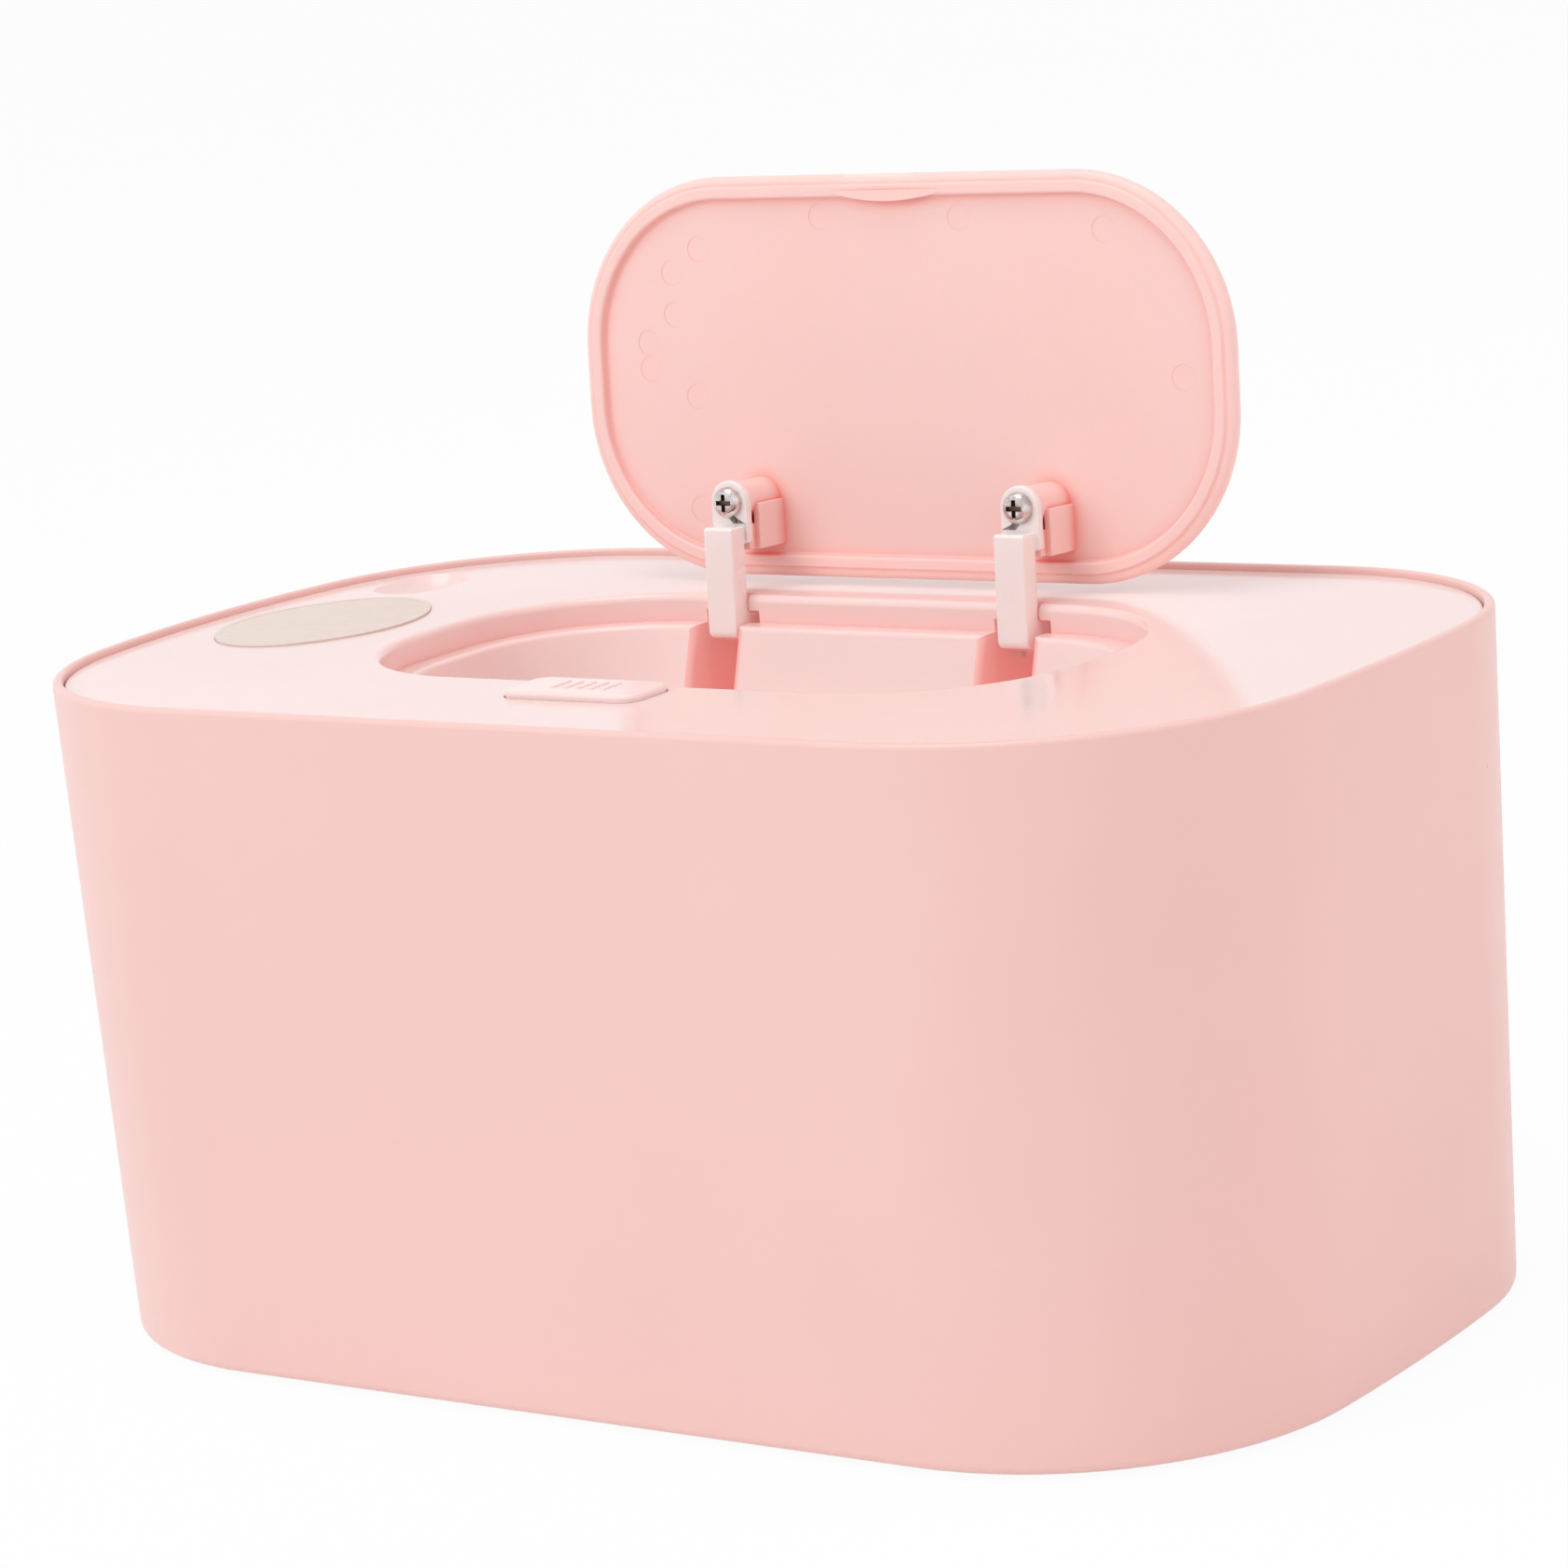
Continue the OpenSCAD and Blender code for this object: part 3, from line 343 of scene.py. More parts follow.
print("corner centres:", [(round(x, 2), round(y, 2)) for x, y, turn in corners])

# %% [markdown]
# ## The outer shell
# It is one injection moulding with a wall of 2.4 mm that leans in towards the floor, so that it
# leaves its mould. At the rim the wall thins to 1.5 mm, and the step behind it takes the panel.
# The wall could be a thickened surface, but its rim, its shelf and its foot all have their own
# shape, so the whole section is drawn and carried round.

# %% Outer shell
shell_z, rim_z, panel_z, panel_under = 0.8, 101.3, 100.3, 98.0
wall, draft, rim_w, shelf_w, shelf_under, shelf_slope = 2.4, 2.4, 1.5, 5.0, 95.8, 3.0
foot_round, rim_round, rim_inner_round = 1.4, 0.8, 0.45
shelf_in = -wall - shelf_w


def wall_x(z):
    """The outer face at height z, measured outwards from the rim's outline."""
    return -draft * (1 - (z - shell_z) / (rim_z - shell_z))


shell_profile = (
    arc(wall_x(shell_z + foot_round) - foot_round, shell_z + foot_round, foot_round, -90, 0, 5)
    + arc(-rim_round, rim_z - rim_round, rim_round, 0, 90, 6)
    + arc(-rim_w + rim_inner_round, rim_z - rim_inner_round, rim_inner_round, 90, 180, 4)
    + [(-rim_w, panel_under), (shelf_in, panel_under), (shelf_in, shelf_under),
       (wall_x(shelf_under) + shelf_in + shelf_slope, shelf_under),
       (wall_x(shelf_under - shelf_slope) - wall, shelf_under - shelf_slope),
       (wall_x(shell_z) - wall, shell_z)])
shell = body_ring("shell_moulding", shell_profile, closed=True)
close_up()

# %% [markdown]
# Four bosses take the screws of the base plate. Each stands free of the corner on one rib.

# %% Screw bosses and socket opening
boss_x, boss_y, boss_r, boss_foot, boss_top = 82.58, 43.41, 4.2, 4.0, 20.0
boss_rib_w, boss_rib_l, boss_hole_r, boss_hole_z, boss_hole_h = 1.6, 8.7, 1.35, 10.0, 12.4
for way_x in (-1, 1):
    for way_y in (-1, 1):
        x, y = way_x * boss_x, way_y * boss_y
        boss = drum("boss", (x, y, (boss_foot + boss_top) / 2), boss_r, boss_top - boss_foot)
        combine(shell, boss, "UNION")
        rib = box("boss_rib", (0, -boss_rib_w / 2, boss_foot), (boss_rib_l, boss_rib_w / 2, boss_top))
        turned(rib, mm(0, 0, 0), math.degrees(math.atan2(way_y, way_x)), "Z")
        shift(rib, x, y, 0)
        combine(shell, rib, "UNION")
        combine(shell, drum("boss_hole", (x, y, boss_hole_z), boss_hole_r, boss_hole_h), "DIFFERENCE")

socket_z, socket_w, socket_h, socket_round = 12.25, 9.5, 3.8, 1.8
opening = box("socket_opening", (-socket_w / 2, half_l - 10, socket_z - socket_h / 2),
              (socket_w / 2, half_l + 5, socket_z + socket_h / 2))
round_edges(opening, lambda e: abs(e.verts[0].co.y - e.verts[1].co.y) > 10 * MM, socket_round, 8)
combine(shell, opening, "DIFFERENCE")
smooth(shell, 32)
print("shell:", len(shell.data.polygons), "faces")

# %% [markdown]
# ## The top panel with its well
# The panel is a flat plate that drops into the shell's rim, with a sunken well in the middle,
# where the lid lies when it is shut. It is made as the mould maker would: a plate, a shell of
# the well under it, and then the spaces are cut out. Tools reach a little past what they cut.

# %% Plate and well
panel_grow, panel_round = -1.7, 0.35
well_hx, well_hy, well_r, well_y = 59.1, 31.7, 27.1, 1.0
well_back, well_front = well_y + well_hy, well_y - well_hy
ledge_z, floor_z, ledge_w, ledge_round, well_wall, lip_round = 96.1, 81.8, 3.1, 1.0, 2.0, 1.2
lean = math.tan(math.radians(18))
funnel_x = -ledge_w - ledge_round
funnel_run = (ledge_z - ledge_round - floor_z) * lean
ring_out, ring_in, ring_foot, ring_top = -7.9, -9.5, 94.6, panel_under + 0.4

panel = body_ring("top_panel_moulding", [(panel_grow, panel_under)] + arc(
    panel_grow - panel_round, panel_z - panel_round, panel_round, 0, 90, 4), closed=False)
close_rings(panel)

well_skin = round_ring("well_skin", [
    (funnel_x - funnel_run + well_wall, floor_z - well_wall),
    (funnel_x + well_wall, ledge_z - well_wall - ledge_round), (well_wall, ledge_z - well_wall),
    (well_wall, panel_under + 0.6)], well_hx, well_hy, well_r, well_y)
close_rings(well_skin)
combine(panel, well_skin, "UNION")

locating_ring = body_ring("locating_ring", [(ring_out, ring_foot), (ring_out, ring_top),
                                            (ring_in, ring_top), (ring_in, ring_foot)], closed=True)
close_up()
combine(panel, locating_ring, "UNION")

# %% [markdown]
# The two hinge pockets are boxes behind the well's rear wall. Each opens to the well through a
# slot with rounded lips, which lets one arm of the lid swing down. The slot's tool is drawn in
# plan, lips and all, and carried up along the slope of the funnel.

# %% Hinge pockets
panel_mark, pocket_mark, lid_mark, slot_mark = (
    bpy.data.materials.new(name) for name in ("panel_mark", "pocket_mark", "lid_mark", "slot_mark"))
marked(panel, panel_mark)

hinge_x, pivot_y, pivot_z, arm_w, arm_play = 26.2, 38.8, 94.4, 5.3, 0.4
pocket_half, pocket_wall, pocket_back = 4.9, 1.8, pivot_y + 4.6
outer_half = pocket_half + pocket_wall
for side in (-1, 1):
    x = side * hinge_x
    combine(panel, box("pocket", (x - outer_half, well_back - 11.1, floor_z - well_wall),
                       (x + outer_half, pocket_back + pocket_wall, panel_under + 0.5)), "UNION")

well_room = round_ring("well_room", [
    (funnel_x - funnel_run, floor_z)] + arc(-ledge_w, ledge_z - ledge_round, ledge_round, 180, 90, 5)
    + [(0, ledge_z)] + arc(lip_round, panel_z - lip_round, lip_round, 180, 90, 7)
    + [(lip_round, panel_z + 1)], well_hx, well_hy, well_r, well_y, steps=22)
close_rings(well_room)
combine(panel, well_room, "DIFFERENCE")

slot_z, slot_top, slot_lip, slot_deep, slot_before = floor_z + 0.02, ledge_z + 0.5, 1.1, 9.5, 3
slot_left, slot_right = 4.6, {-1: 3.2, 1: 3.95}
slot_rise = slot_top - slot_z
face_y = well_back + funnel_x - funnel_run
arm_half = arm_w / 2 + arm_play
for side in (-1, 1):
    x = side * hinge_x
    spaces = ((pocket_half, well_back - 0.01, pocket_back, slot_z, panel_under),
              (arm_half, well_back - 2, well_back + 2.15, ledge_z - 2, panel_z + 1),
              (pocket_half, well_back - 0.5, pocket_back - 0.02, slot_z, ledge_z - 1.02))
    for half, y0, y1, z0, z1 in spaces:
        space = box("space", (x - half, y0, z0), (x + half, y1, z1))
        combine(panel, marked(space, pocket_mark), "DIFFERENCE")
    x0, x1 = x - slot_left, x + slot_right[side]
    plan = ([(x0 - slot_lip, face_y - slot_before)]
            + arc(x0 - slot_lip, face_y + slot_lip, slot_lip, -90, 0, 6)
            + [(x0, face_y + slot_deep), (x1, face_y + slot_deep)]
            + arc(x1 + slot_lip, face_y + slot_lip, slot_lip, 180, 270, 6)
            + [(x1 + slot_lip, face_y - slot_before)])
    slot = extruded("slot", [mm(x, y, slot_z) for x, y in plan], mm(0, slot_rise * lean, slot_rise))
    combine(panel, marked(slot, pocket_mark), "DIFFERENCE")
print("panel with pockets:", len(panel.data.polygons), "faces")

# %% [markdown]
# The mouth in the well's floor lets a wipe through. The dish at the rear left takes a
# fingertip, and the two shallow openings hold the oval plate and the push button.

# %% Mouth, button hole and oval seat
mouth_w, mouth_l, mouth_r = 84, 26, 12.9
button_x, button_y, button_w, button_l, button_r, button_play = -2.4, -38.2, 23.0, 10.4, 2.5, 0.6
bolt_half, bolt_low, bolt_high, bolt_back = 6.3, 97.6, 98.9, 4.5
bracket_half, bracket_boss_r, bracket_boss_z, bracket_boss_h = 16.5, 2.5, 95.2, 6.0
plate_x, plate_y, plate_half_x, plate_half_y, plate_end_r = -82.3, 2, 15.4, 19.5, 12.0
plate_seat = panel_z - 0.2


def oval(name, grow, z0, z1):
    """The oval of four arcs: two end circles joined by two flatter ones."""
    end_y = plate_half_y - plate_end_r
    flat_r = (end_y ** 2 + plate_half_x ** 2 - plate_end_r ** 2) / (2 * (plate_half_x - plate_end_r))
    tilt = math.degrees(math.asin(end_y / (flat_r - plate_end_r)))
    start = math.radians(tilt)
    first = [mm((plate_end_r + grow) * math.cos(start), end_y + (plate_end_r + grow) * math.sin(start), z)
             for z in (z0, z1)]
    piece = draw_line(name, first)
    carry(piece, [
        (mm(0, end_y, 0), 180 - 2 * tilt, 20), (mm(flat_r - plate_half_x, 0, 0), 2 * tilt, 14),
        (mm(0, -end_y, 0), 180 - 2 * tilt, 20), (mm(plate_half_x - flat_r, 0, 0), 2 * tilt, 14)])
    close_rings(piece)
    shift(piece, plate_x, plate_y, 0)
    return piece


combine(panel, slab("mouth_tool", 0, well_y, mouth_w, mouth_l, mouth_r, floor_z - 4, floor_z + 1),
        "DIFFERENCE")
combine(panel, slab("button_tool", button_x, button_y, button_w + button_play, button_l + button_play,
                    button_r + button_play / 2, panel_under - 1, panel_z + 1), "DIFFERENCE")
combine(panel, oval("oval_seat", 0.1, plate_seat, panel_z + 1), "DIFFERENCE")
combine(panel, box("bolt_slot", (button_x - bolt_half, well_front - bolt_back, bolt_low),
                   (button_x + bolt_half, well_front + 0.01, bolt_high)), "DIFFERENCE")
for way in (-1, 1):
    combine(panel, drum("bracket_boss", (button_x + way * bracket_half, button_y, bracket_boss_z),
                        bracket_boss_r, bracket_boss_h), "UNION")

# %% Finger dish
dish_r, dish_deep, dish_run, dish_x, dish_y, dish_wall, dish_room = 8.4, 3.2, 5.0, -87.3, 34.0, 1.2, 15


def scoop(name, r):
    """A ball drawn out along y, for the dish and for the skin under it."""
    nothing_selected()
    bpy.ops.mesh.primitive_uv_sphere_add(segments=64, ring_count=48, radius=r * MM,
                                         location=mm(dish_x, dish_y, panel_z - dish_deep + dish_r))
    piece = bpy.context.object
    bpy.ops.object.transform_apply()
    edit(piece)
    for way in (1, -1):
        pick(piece, lambda f: (f.calc_center_median().y - dish_y * MM) * way > 0)
        bpy.ops.transform.translate(value=mm(0, way * dish_run / 2, 0))
    nothing_selected()
    piece.name = piece.data.name = name
    return piece


skin = scoop("dish_skin", dish_r + dish_wall)
combine(skin, box("skin_room", (dish_x - dish_room, dish_y - dish_room, floor_z),
                  (dish_x + dish_room, dish_y + dish_room, panel_under + 0.5)), "INTERSECT")
combine(panel, skin, "UNION")
combine(panel, scoop("dish", dish_r), "DIFFERENCE")
smooth(panel, 28)
print("top panel:", len(panel.data.polygons), "faces")

# %% [markdown]
# ## The oval plate
# A bare thin satin plate with a broken edge and a raised border, which catches the light as a
# stamped plate does.

# %% Oval plate
edge_w, border_w, border_slope, border_rise = 0.12, 0.6, 0.18, 0.09
plate = oval("bare_oval_plate", 0, plate_seat, panel_z + 0.3)
edit(plate)
pick(plate, lambda f: f.normal.z > 0.9)
bpy.ops.mesh.inset(thickness=edge_w * MM, depth=0)
bpy.ops.mesh.inset(thickness=border_w * MM, depth=0)
bpy.ops.mesh.inset(thickness=border_slope * MM, depth=-border_rise * MM)
nothing_selected()
soften(plate, 0.08, 2)
smooth(plate, 30)
print("oval plate:", len(plate.data.polygons), "faces")

# %% [markdown]
# ## The flip lid
# The lid is drawn shut, where its sizes are plain, and is then swung open about its hinge. Its
# edge is a bullnose with a small step, then a broad low ridge that lies over the well's ledge.

# %% Lid
lid_hx, lid_hy, lid_r, lid_y = 58.5, 30.9, 26.5, 0.55
lid_rim_z, lid_top_z, lid_under_z, lid_open = 97.1, 100.7, 98.3, -93
lid_front = lid_y - lid_hy
lid_profile = (
    [(-9, lid_under_z)] + arc(-3.85, lid_under_z - 0.35, 0.35, 90, 0, 4)
    + arc(-2.95, lid_rim_z + 0.45, 0.45, 180, 270, 5)
    + arc(-1.85, lid_rim_z + 0.25, 0.25, 270, 350, 4)
    + arc(-1.2, lid_rim_z + 1.6, 1.2, -100, 0, 7)
    + arc(-2.0, lid_top_z - 2.0, 2.0, 0, 90, 8) + [(-9, lid_top_z)])
lid = round_ring("lid_moulding", lid_profile, lid_hx, lid_hy, lid_r, lid_y, steps=26)
close_rings(lid)

# %% [markdown]
# The catch is a lens-shaped tongue on the ridge at the free edge. It stands a little taller than
# the ridge and fades out to both sides, so it is the overlap of two large drums and a slab.

# %% Catch
catch_y, catch_half, catch_run, catch_rise = lid_front + 2.4, 11.0, 1.7, 0.4
sag_r = (catch_half ** 2 + catch_run ** 2) / (2 * catch_run)
crest_r = (catch_half ** 2 + catch_rise ** 2) / (2 * catch_rise)
catch = drum("catch", (0, catch_y + catch_run - sag_r, lid_rim_z + 0.3), sag_r, 2.2, sides=540)
combine(catch, box("catch_room", (-2 * catch_half, catch_y, floor_z),
                   (2 * catch_half, catch_y + 5, lid_top_z + 10)), "INTERSECT")
combine(catch, drum("crest", (0, catch_y, lid_rim_z - catch_rise + 0.05 + crest_r), crest_r, 12,
                    sides=900, turn=(math.pi / 2, 0, 0)), "INTERSECT")
combine(lid, catch, "UNION")

# %% [markdown]
# Each arm's lug is screwed to a round boss and sits in a cradle with two side walls.

# %% Bosses, cradles and the slot for the bolt's nose
screw_y, lug_front = pivot_y - 19.9, pivot_z - 5.8
lug_back, lug_end = lug_front + 1.5, screw_y + 6.3
root = lid_under_z + 0.4
lid_boss_r, cradle_in, cradle_out, seat_half = 2.9, 2.4, 3.6, 2.6
nose_half, nose_low, nose_high, nose_deep = 6.5, 97.8, 98.7, 1.3
for side in (-1, 1):
    x = side * hinge_x
    combine(lid, drum("boss", (x, screw_y, (lug_back + root) / 2), lid_boss_r, root - lug_back), "UNION")
    for a, b in ((-cradle_out, -cradle_in), (cradle_in, cradle_out)):
        combine(lid, box("cradle_wall", (x + a, screw_y + 0.4, lug_back + 1.5),
                         (x + b, lug_end + 1.2, root), 0.25), "UNION")
    combine(lid, box("cradle_seat", (x - seat_half, lug_end - 2.8, lug_back),
                     (x + seat_half, lug_end + 1.15, root + 0.1), 0.15), "UNION")
marked(lid, lid_mark)
nose_slot = box("nose_slot", (button_x - nose_half, lid_front - 1, nose_low),
                (button_x + nose_half, lid_front + nose_deep, nose_high))
combine(lid, marked(nose_slot, slot_mark), "DIFFERENCE")

# %% [markdown]
# The pins that push the lid out of its mould leave faint round marks on its inner face. Each is
# placed by its distance from the lid's middle, to the right and towards the free edge.

# %% Ejector marks
ejector_r, ejector_deep, ejector_h = 2.0, 0.06, 2.0
ejectors = ((-13.1, 24.5), (12, 24.1), (37.1, 22), (49.7, 0.1), (-41.3, 16.2), (-41.2, 9.7),
            (-46.5, 5.3), (-46.3, 1.2), (-37.7, -3.1), (-36.1, 19.8), (-38, -20.7))
ejector_z = lid_under_z + ejector_deep - ejector_h / 2
tools = [drum("mark", (x, lid_y - s, ejector_z), ejector_r, ejector_h, sides=40) for x, s in ejectors]
combine(lid, joined(tools, "mark_tools"), "DIFFERENCE")
pivot = mm(0, pivot_y, pivot_z)
turned(lid, pivot, lid_open, "X")
smooth(lid, 28)
print("lid:", len(lid.data.polygons), "faces")

# %% [markdown]
# ## The gooseneck arms
# Each arm hooks round under the panel's rear lip, so the lid can swing up without touching it.
# Its side view is drawn point by point, filled, and extruded to the arm's width; a soft bevel
# then takes the edges off, as on the milky moulded part.

# %% Arms
arm_out, eye_r, pin_r, heel_r = pivot_z - 9.3, 2.7, 1.25, 1.2
arm_tip, arm_heel, neck_chamfer = screw_y + 3.6, pivot_y + 0.85, 0.8
lug_w, screw_hole_r = 6.6, 1.3
side_view = ([(arm_tip, lug_front), (arm_tip, arm_out + 0.4), (arm_tip + 0.4, arm_out)]
             + arc(arm_heel - heel_r, arm_out + heel_r, heel_r, -90, 0, 6)
             + arc(pivot_y, pivot_z, eye_r, 0, 180, 16)
             + [(pivot_y - eye_r, lug_front + neck_chamfer), (pivot_y - eye_r - neck_chamfer, lug_front)])
arm = prism("right_gooseneck", hinge_x - arm_w / 2, arm_w, side_view)
lug = slab("lug", hinge_x, (screw_y + lug_end) / 2, lug_w, lug_end - screw_y + lug_w,
           lug_w / 2 - 0.01, lug_front, lug_back, steps=14)
lug_cut = box("lug_cut", (hinge_x - 5, lug_end, floor_z), (hinge_x + 5, lug_end + 6, panel_z))
combine(lug, lug_cut, "DIFFERENCE")
combine(arm, lug, "UNION")
combine(arm, drum("eye", (hinge_x, pivot_y, pivot_z), pin_r, 12, turn=(0, math.pi / 2, 0)), "DIFFERENCE")
combine(arm, drum("screw_hole", (hinge_x, screw_y, lug_front), screw_hole_r, 12), "DIFFERENCE")
soften(arm, 0.55, 4)
turned(arm, pivot, lid_open, "X")
left_arm = mirrored(arm, "left_gooseneck")
for piece in (arm, left_arm):
    smooth(piece, 35)
print("arms:", len(arm.data.polygons), "faces each")

# %% [markdown]
# ## The hinge screws
# A pan head with a cross recess, on a shank that goes into the lid's boss.

# %% Screws
head_mark, recess_mark = (bpy.data.materials.new(name) for name in ("head_mark", "recess_mark"))
dome, recess_deep = 1.3, 0.95


def pan_screw(name, x, y, z, shank_d, length, head_d, head_h):
    """A screw that points up, with the underside of its head at z."""
    head = marked(drum(name, (x, y, z - head_h / 2), head_d / 2, head_h, sides=64), head_mark)
    round_edges(head, lambda e: max(v.co.z for v in e.verts) < (z - head_h + 0.01) * MM, dome, 10)
    combine(head, drum("shank", (x, y, z + length / 2 - 0.2), shank_d / 2, length + 0.4, sides=32),
            "UNION")
    reach, half = head_d * 0.28, head_d * 0.075
    # The recess faces are marked for a darker steel, which is painted shade in the recess.
    for a, b in ((half, reach), (reach, half)):
        recess = box("recess", (x - a, y - b, z - head_h - 1), (x + a, y + b, z - head_h + recess_deep))
        combine(head, marked(recess, recess_mark), "DIFFERENCE")
    soften(head, 0.05, 2, 60)
    return head


right_screw = pan_screw("right_screw", hinge_x, screw_y, lug_front, shank_d=2.5,
                        length=lid_under_z - lug_front - 1, head_d=4.8, head_h=1.5)
turned(right_screw, pivot, lid_open, "X")
left_screw = mirrored(right_screw, "left_screw")
screws = joined([right_screw, left_screw], "lid_screws")
smooth(screws, 35)
print("screws:", len(screws.data.polygons), "faces")

# %% [markdown]
# ## The push button
# A small cap that stands a little proud of the panel, with five plain grip ribs. Its tongue
# ends in a slope that pushes the latch bolt back.

# %% Button
button_foot, button_top, button_hollow, button_wall = 96.8, panel_z + 1.1, 100.2, 1.2
rib_pitch, rib_half, rib_front, rib_back, rib_top = 2.2, 0.4, -2, 2.4, panel_z + 1.34
cap = slab("latch_button", button_x, button_y, button_w, button_l, button_r, button_foot, button_top,
           steps=8)
flange = slab("flange", button_x, button_y, button_w + 2 * button_wall, button_l, button_r,
              button_foot, button_foot + 1)
combine(cap, flange, "UNION")
round_edges(cap, lambda e: min(v.co.z for v in e.verts) > (button_top - 0.1) * MM, 0.6, 5)
hollow = slab("hollow", button_x, button_y + button_wall, button_w - 2 * button_wall, button_l,
              button_r - button_wall, button_foot - 1.8, button_hollow, steps=6)
combine(cap, hollow, "DIFFERENCE")
for step in range(5):
    x = button_x + rib_pitch * (step - 2)
    rib = box("rib", (x - rib_half, button_y + rib_front, button_top - 0.2),
              (x + rib_half, button_y + rib_back, rib_top), bevel=0.12)
    combine(cap, rib, "UNION")

tongue_y, tongue_z, tongue_foot, tongue_half_w, tongue_half_t = button_y - 1.2, 96.0, 92.1, 4, 0.8
combine(cap, box("tongue", (button_x - tongue_half_w, tongue_y - tongue_half_t, tongue_z),
                 (button_x + tongue_half_w, tongue_y + tongue_half_t, button_hollow + 0.2)), "UNION")
slope = [(tongue_y + dy + tongue_z - z, z) for dy, z in (
    (-tongue_half_t, tongue_z + 0.01), (tongue_half_t, tongue_z + 0.01),
    (tongue_half_t, tongue_foot), (-tongue_half_t, tongue_foot))]
combine(cap, prism("slope", button_x - tongue_half_w, 2 * tongue_half_w, slope), "UNION")
smooth(cap, 35)
print("button:", len(cap.data.polygons), "faces")

# %% [markdown]
# ## The button's springs
# The two coils, which the button presses as it goes down, keep their CAD shape as a copy with smooth
# wire.

# %% Button springs
coils = copied(nodes["button_springs"], "return_springs")
coils.parent = None
coils.matrix_world = nodes["button_springs"].matrix_world.copy()
edit(coils)
bpy.ops.mesh.select_all(action="SELECT")
bpy.ops.mesh.remove_doubles(threshold=0.000002)
nothing_selected()
smooth(coils, 50)
print("springs:", len(coils.data.polygons), "faces")

# %% [markdown]
# ## The foam pad
# Foam is cut with a hot wire, so its edges are soft. It lies round the four posts that carry
# the tank, with a space for the sensor and one for the fuse.

# %% Foam pad
pad_w, pad_l, pad_r, pad_foot, pad_top = 150, 84, 8, 17.4, 23.4
post_x, post_y, post_r = 62, 34, 4
part_y, sensor_x, sensor_w, sensor_l, fuse_x, fuse_w, fuse_l = -14, -20, 9, 7, 20, 16, 6
pad = slab("foam_pad", 0, 0, pad_w, pad_l, pad_r, pad_foot, pad_top)
tools = [drum("post_hole", (x, y, pad_foot), post_r, 20)
         for x in (-post_x, post_x) for y in (-post_y, post_y)]
tools += [box("part_hole", (x - w / 2, part_y - l / 2, pad_foot - 5),
              (x + w / 2, part_y + l / 2, pad_top + 5))
          for x, w, l in ((sensor_x, sensor_w, sensor_l), (fuse_x, fuse_w, fuse_l))]
for tool in tools:
    combine(pad, tool, "DIFFERENCE")
soften(pad, 1.1, 4)
smooth(pad, 60)
print("pad:", len(pad.data.polygons), "faces")

# %% [markdown]
# ## Finishes
# Each plastic is a colour that wanders by a percent or two, a roughness that is never quite even
# and a very fine grain from the mould's steel. All patterns read Object coordinates in metres,
# so a scale of 1000 gives marks about a millimetre apart.

# %% Finish tools
def shade(r, g, b):
    """A colour as read from a screen, 0 to 255, in the linear values that shaders use."""
    return tuple(((c / 255 + 0.055) / 1.055) ** 2.4 if c > 10 else c / 3295 for c in (r, g, b)) + (1,)


def any_ray(tree, *kinds):
    """One if a ray is of one of these kinds, and zero if not."""
    rays = tree.nodes.new("ShaderNodeLightPath")
    found = rays.outputs[kinds[0]]
    for kind in kinds[1:]:
        either = tree.nodes.new("ShaderNodeMath")
        either.operation = "MAXIMUM"
        tree.links.new(found, either.inputs[0])
        tree.links.new(rays.outputs[kind], either.inputs[1])
        found = either.outputs[0]
    return found


class Finish:
    """A material under construction: its tree, its shader and its Object coordinates."""

    def __init__(self, name):
        self.material = bpy.data.materials.new(name)
        self.material.use_nodes = True
        self.tree = self.material.node_tree
        self.shader = self.tree.nodes["Principled BSDF"]
        self.place = self.tree.nodes.new("ShaderNodeTexCoord").outputs["Object"]

    def set(self, **sockets):
        for name, value in sockets.items():
            self.shader.inputs[name.replace("_", " ")].default_value = value

    def link(self, a, b):
        self.tree.links.new(a, b)

    def node(self, kind, **sockets):
        """A new node with plain values on its sockets."""
        made = self.tree.nodes.new(kind)
        for name, value in sockets.items():
            made.inputs[name.replace("_", " ")].default_value = value
        return made

    def noise(self, scale, detail=3.0, stretch=None):
        node = self.node("ShaderNodeTexNoise", Scale=scale, Detail=detail)
        source = self.place
        if stretch:
            mapping = self.node("ShaderNodeMapping", Scale=stretch)
            self.link(source, mapping.inputs["Vector"])
            source = mapping.outputs["Vector"]
        self.link(source, node.inputs["Vector"])
        return node.outputs["Fac"]

    def cells(self, scale):
        node = self.node("ShaderNodeTexVoronoi", Scale=scale)
        self.link(self.place, node.inputs["Vector"])
        return node

    def spread(self, value, low, high, start=0.3, stop=0.7):
        node = self.node("ShaderNodeMapRange", From_Min=start, From_Max=stop, To_Min=low, To_Max=high)
        self.link(value, node.inputs["Value"])
        return node.outputs["Result"]

    def mix(self, amount, first, second):
        node = self.tree.nodes.new("ShaderNodeMix")
        node.data_type = "RGBA"
        self.link(amount, node.inputs["Factor"])
        for socket, value in ((node.inputs[6], first), (node.inputs[7], second)):
            if isinstance(value, tuple):
                socket.default_value = value
            else:
                self.link(value, socket)
        return node.outputs[2]

    def bump(self, height, strength, depth):
        node = self.node("ShaderNodeBump", Strength=strength, Distance=depth)
        self.link(height, node.inputs["Height"])
        self.link(node.outputs["Normal"], self.shader.inputs["Normal"])


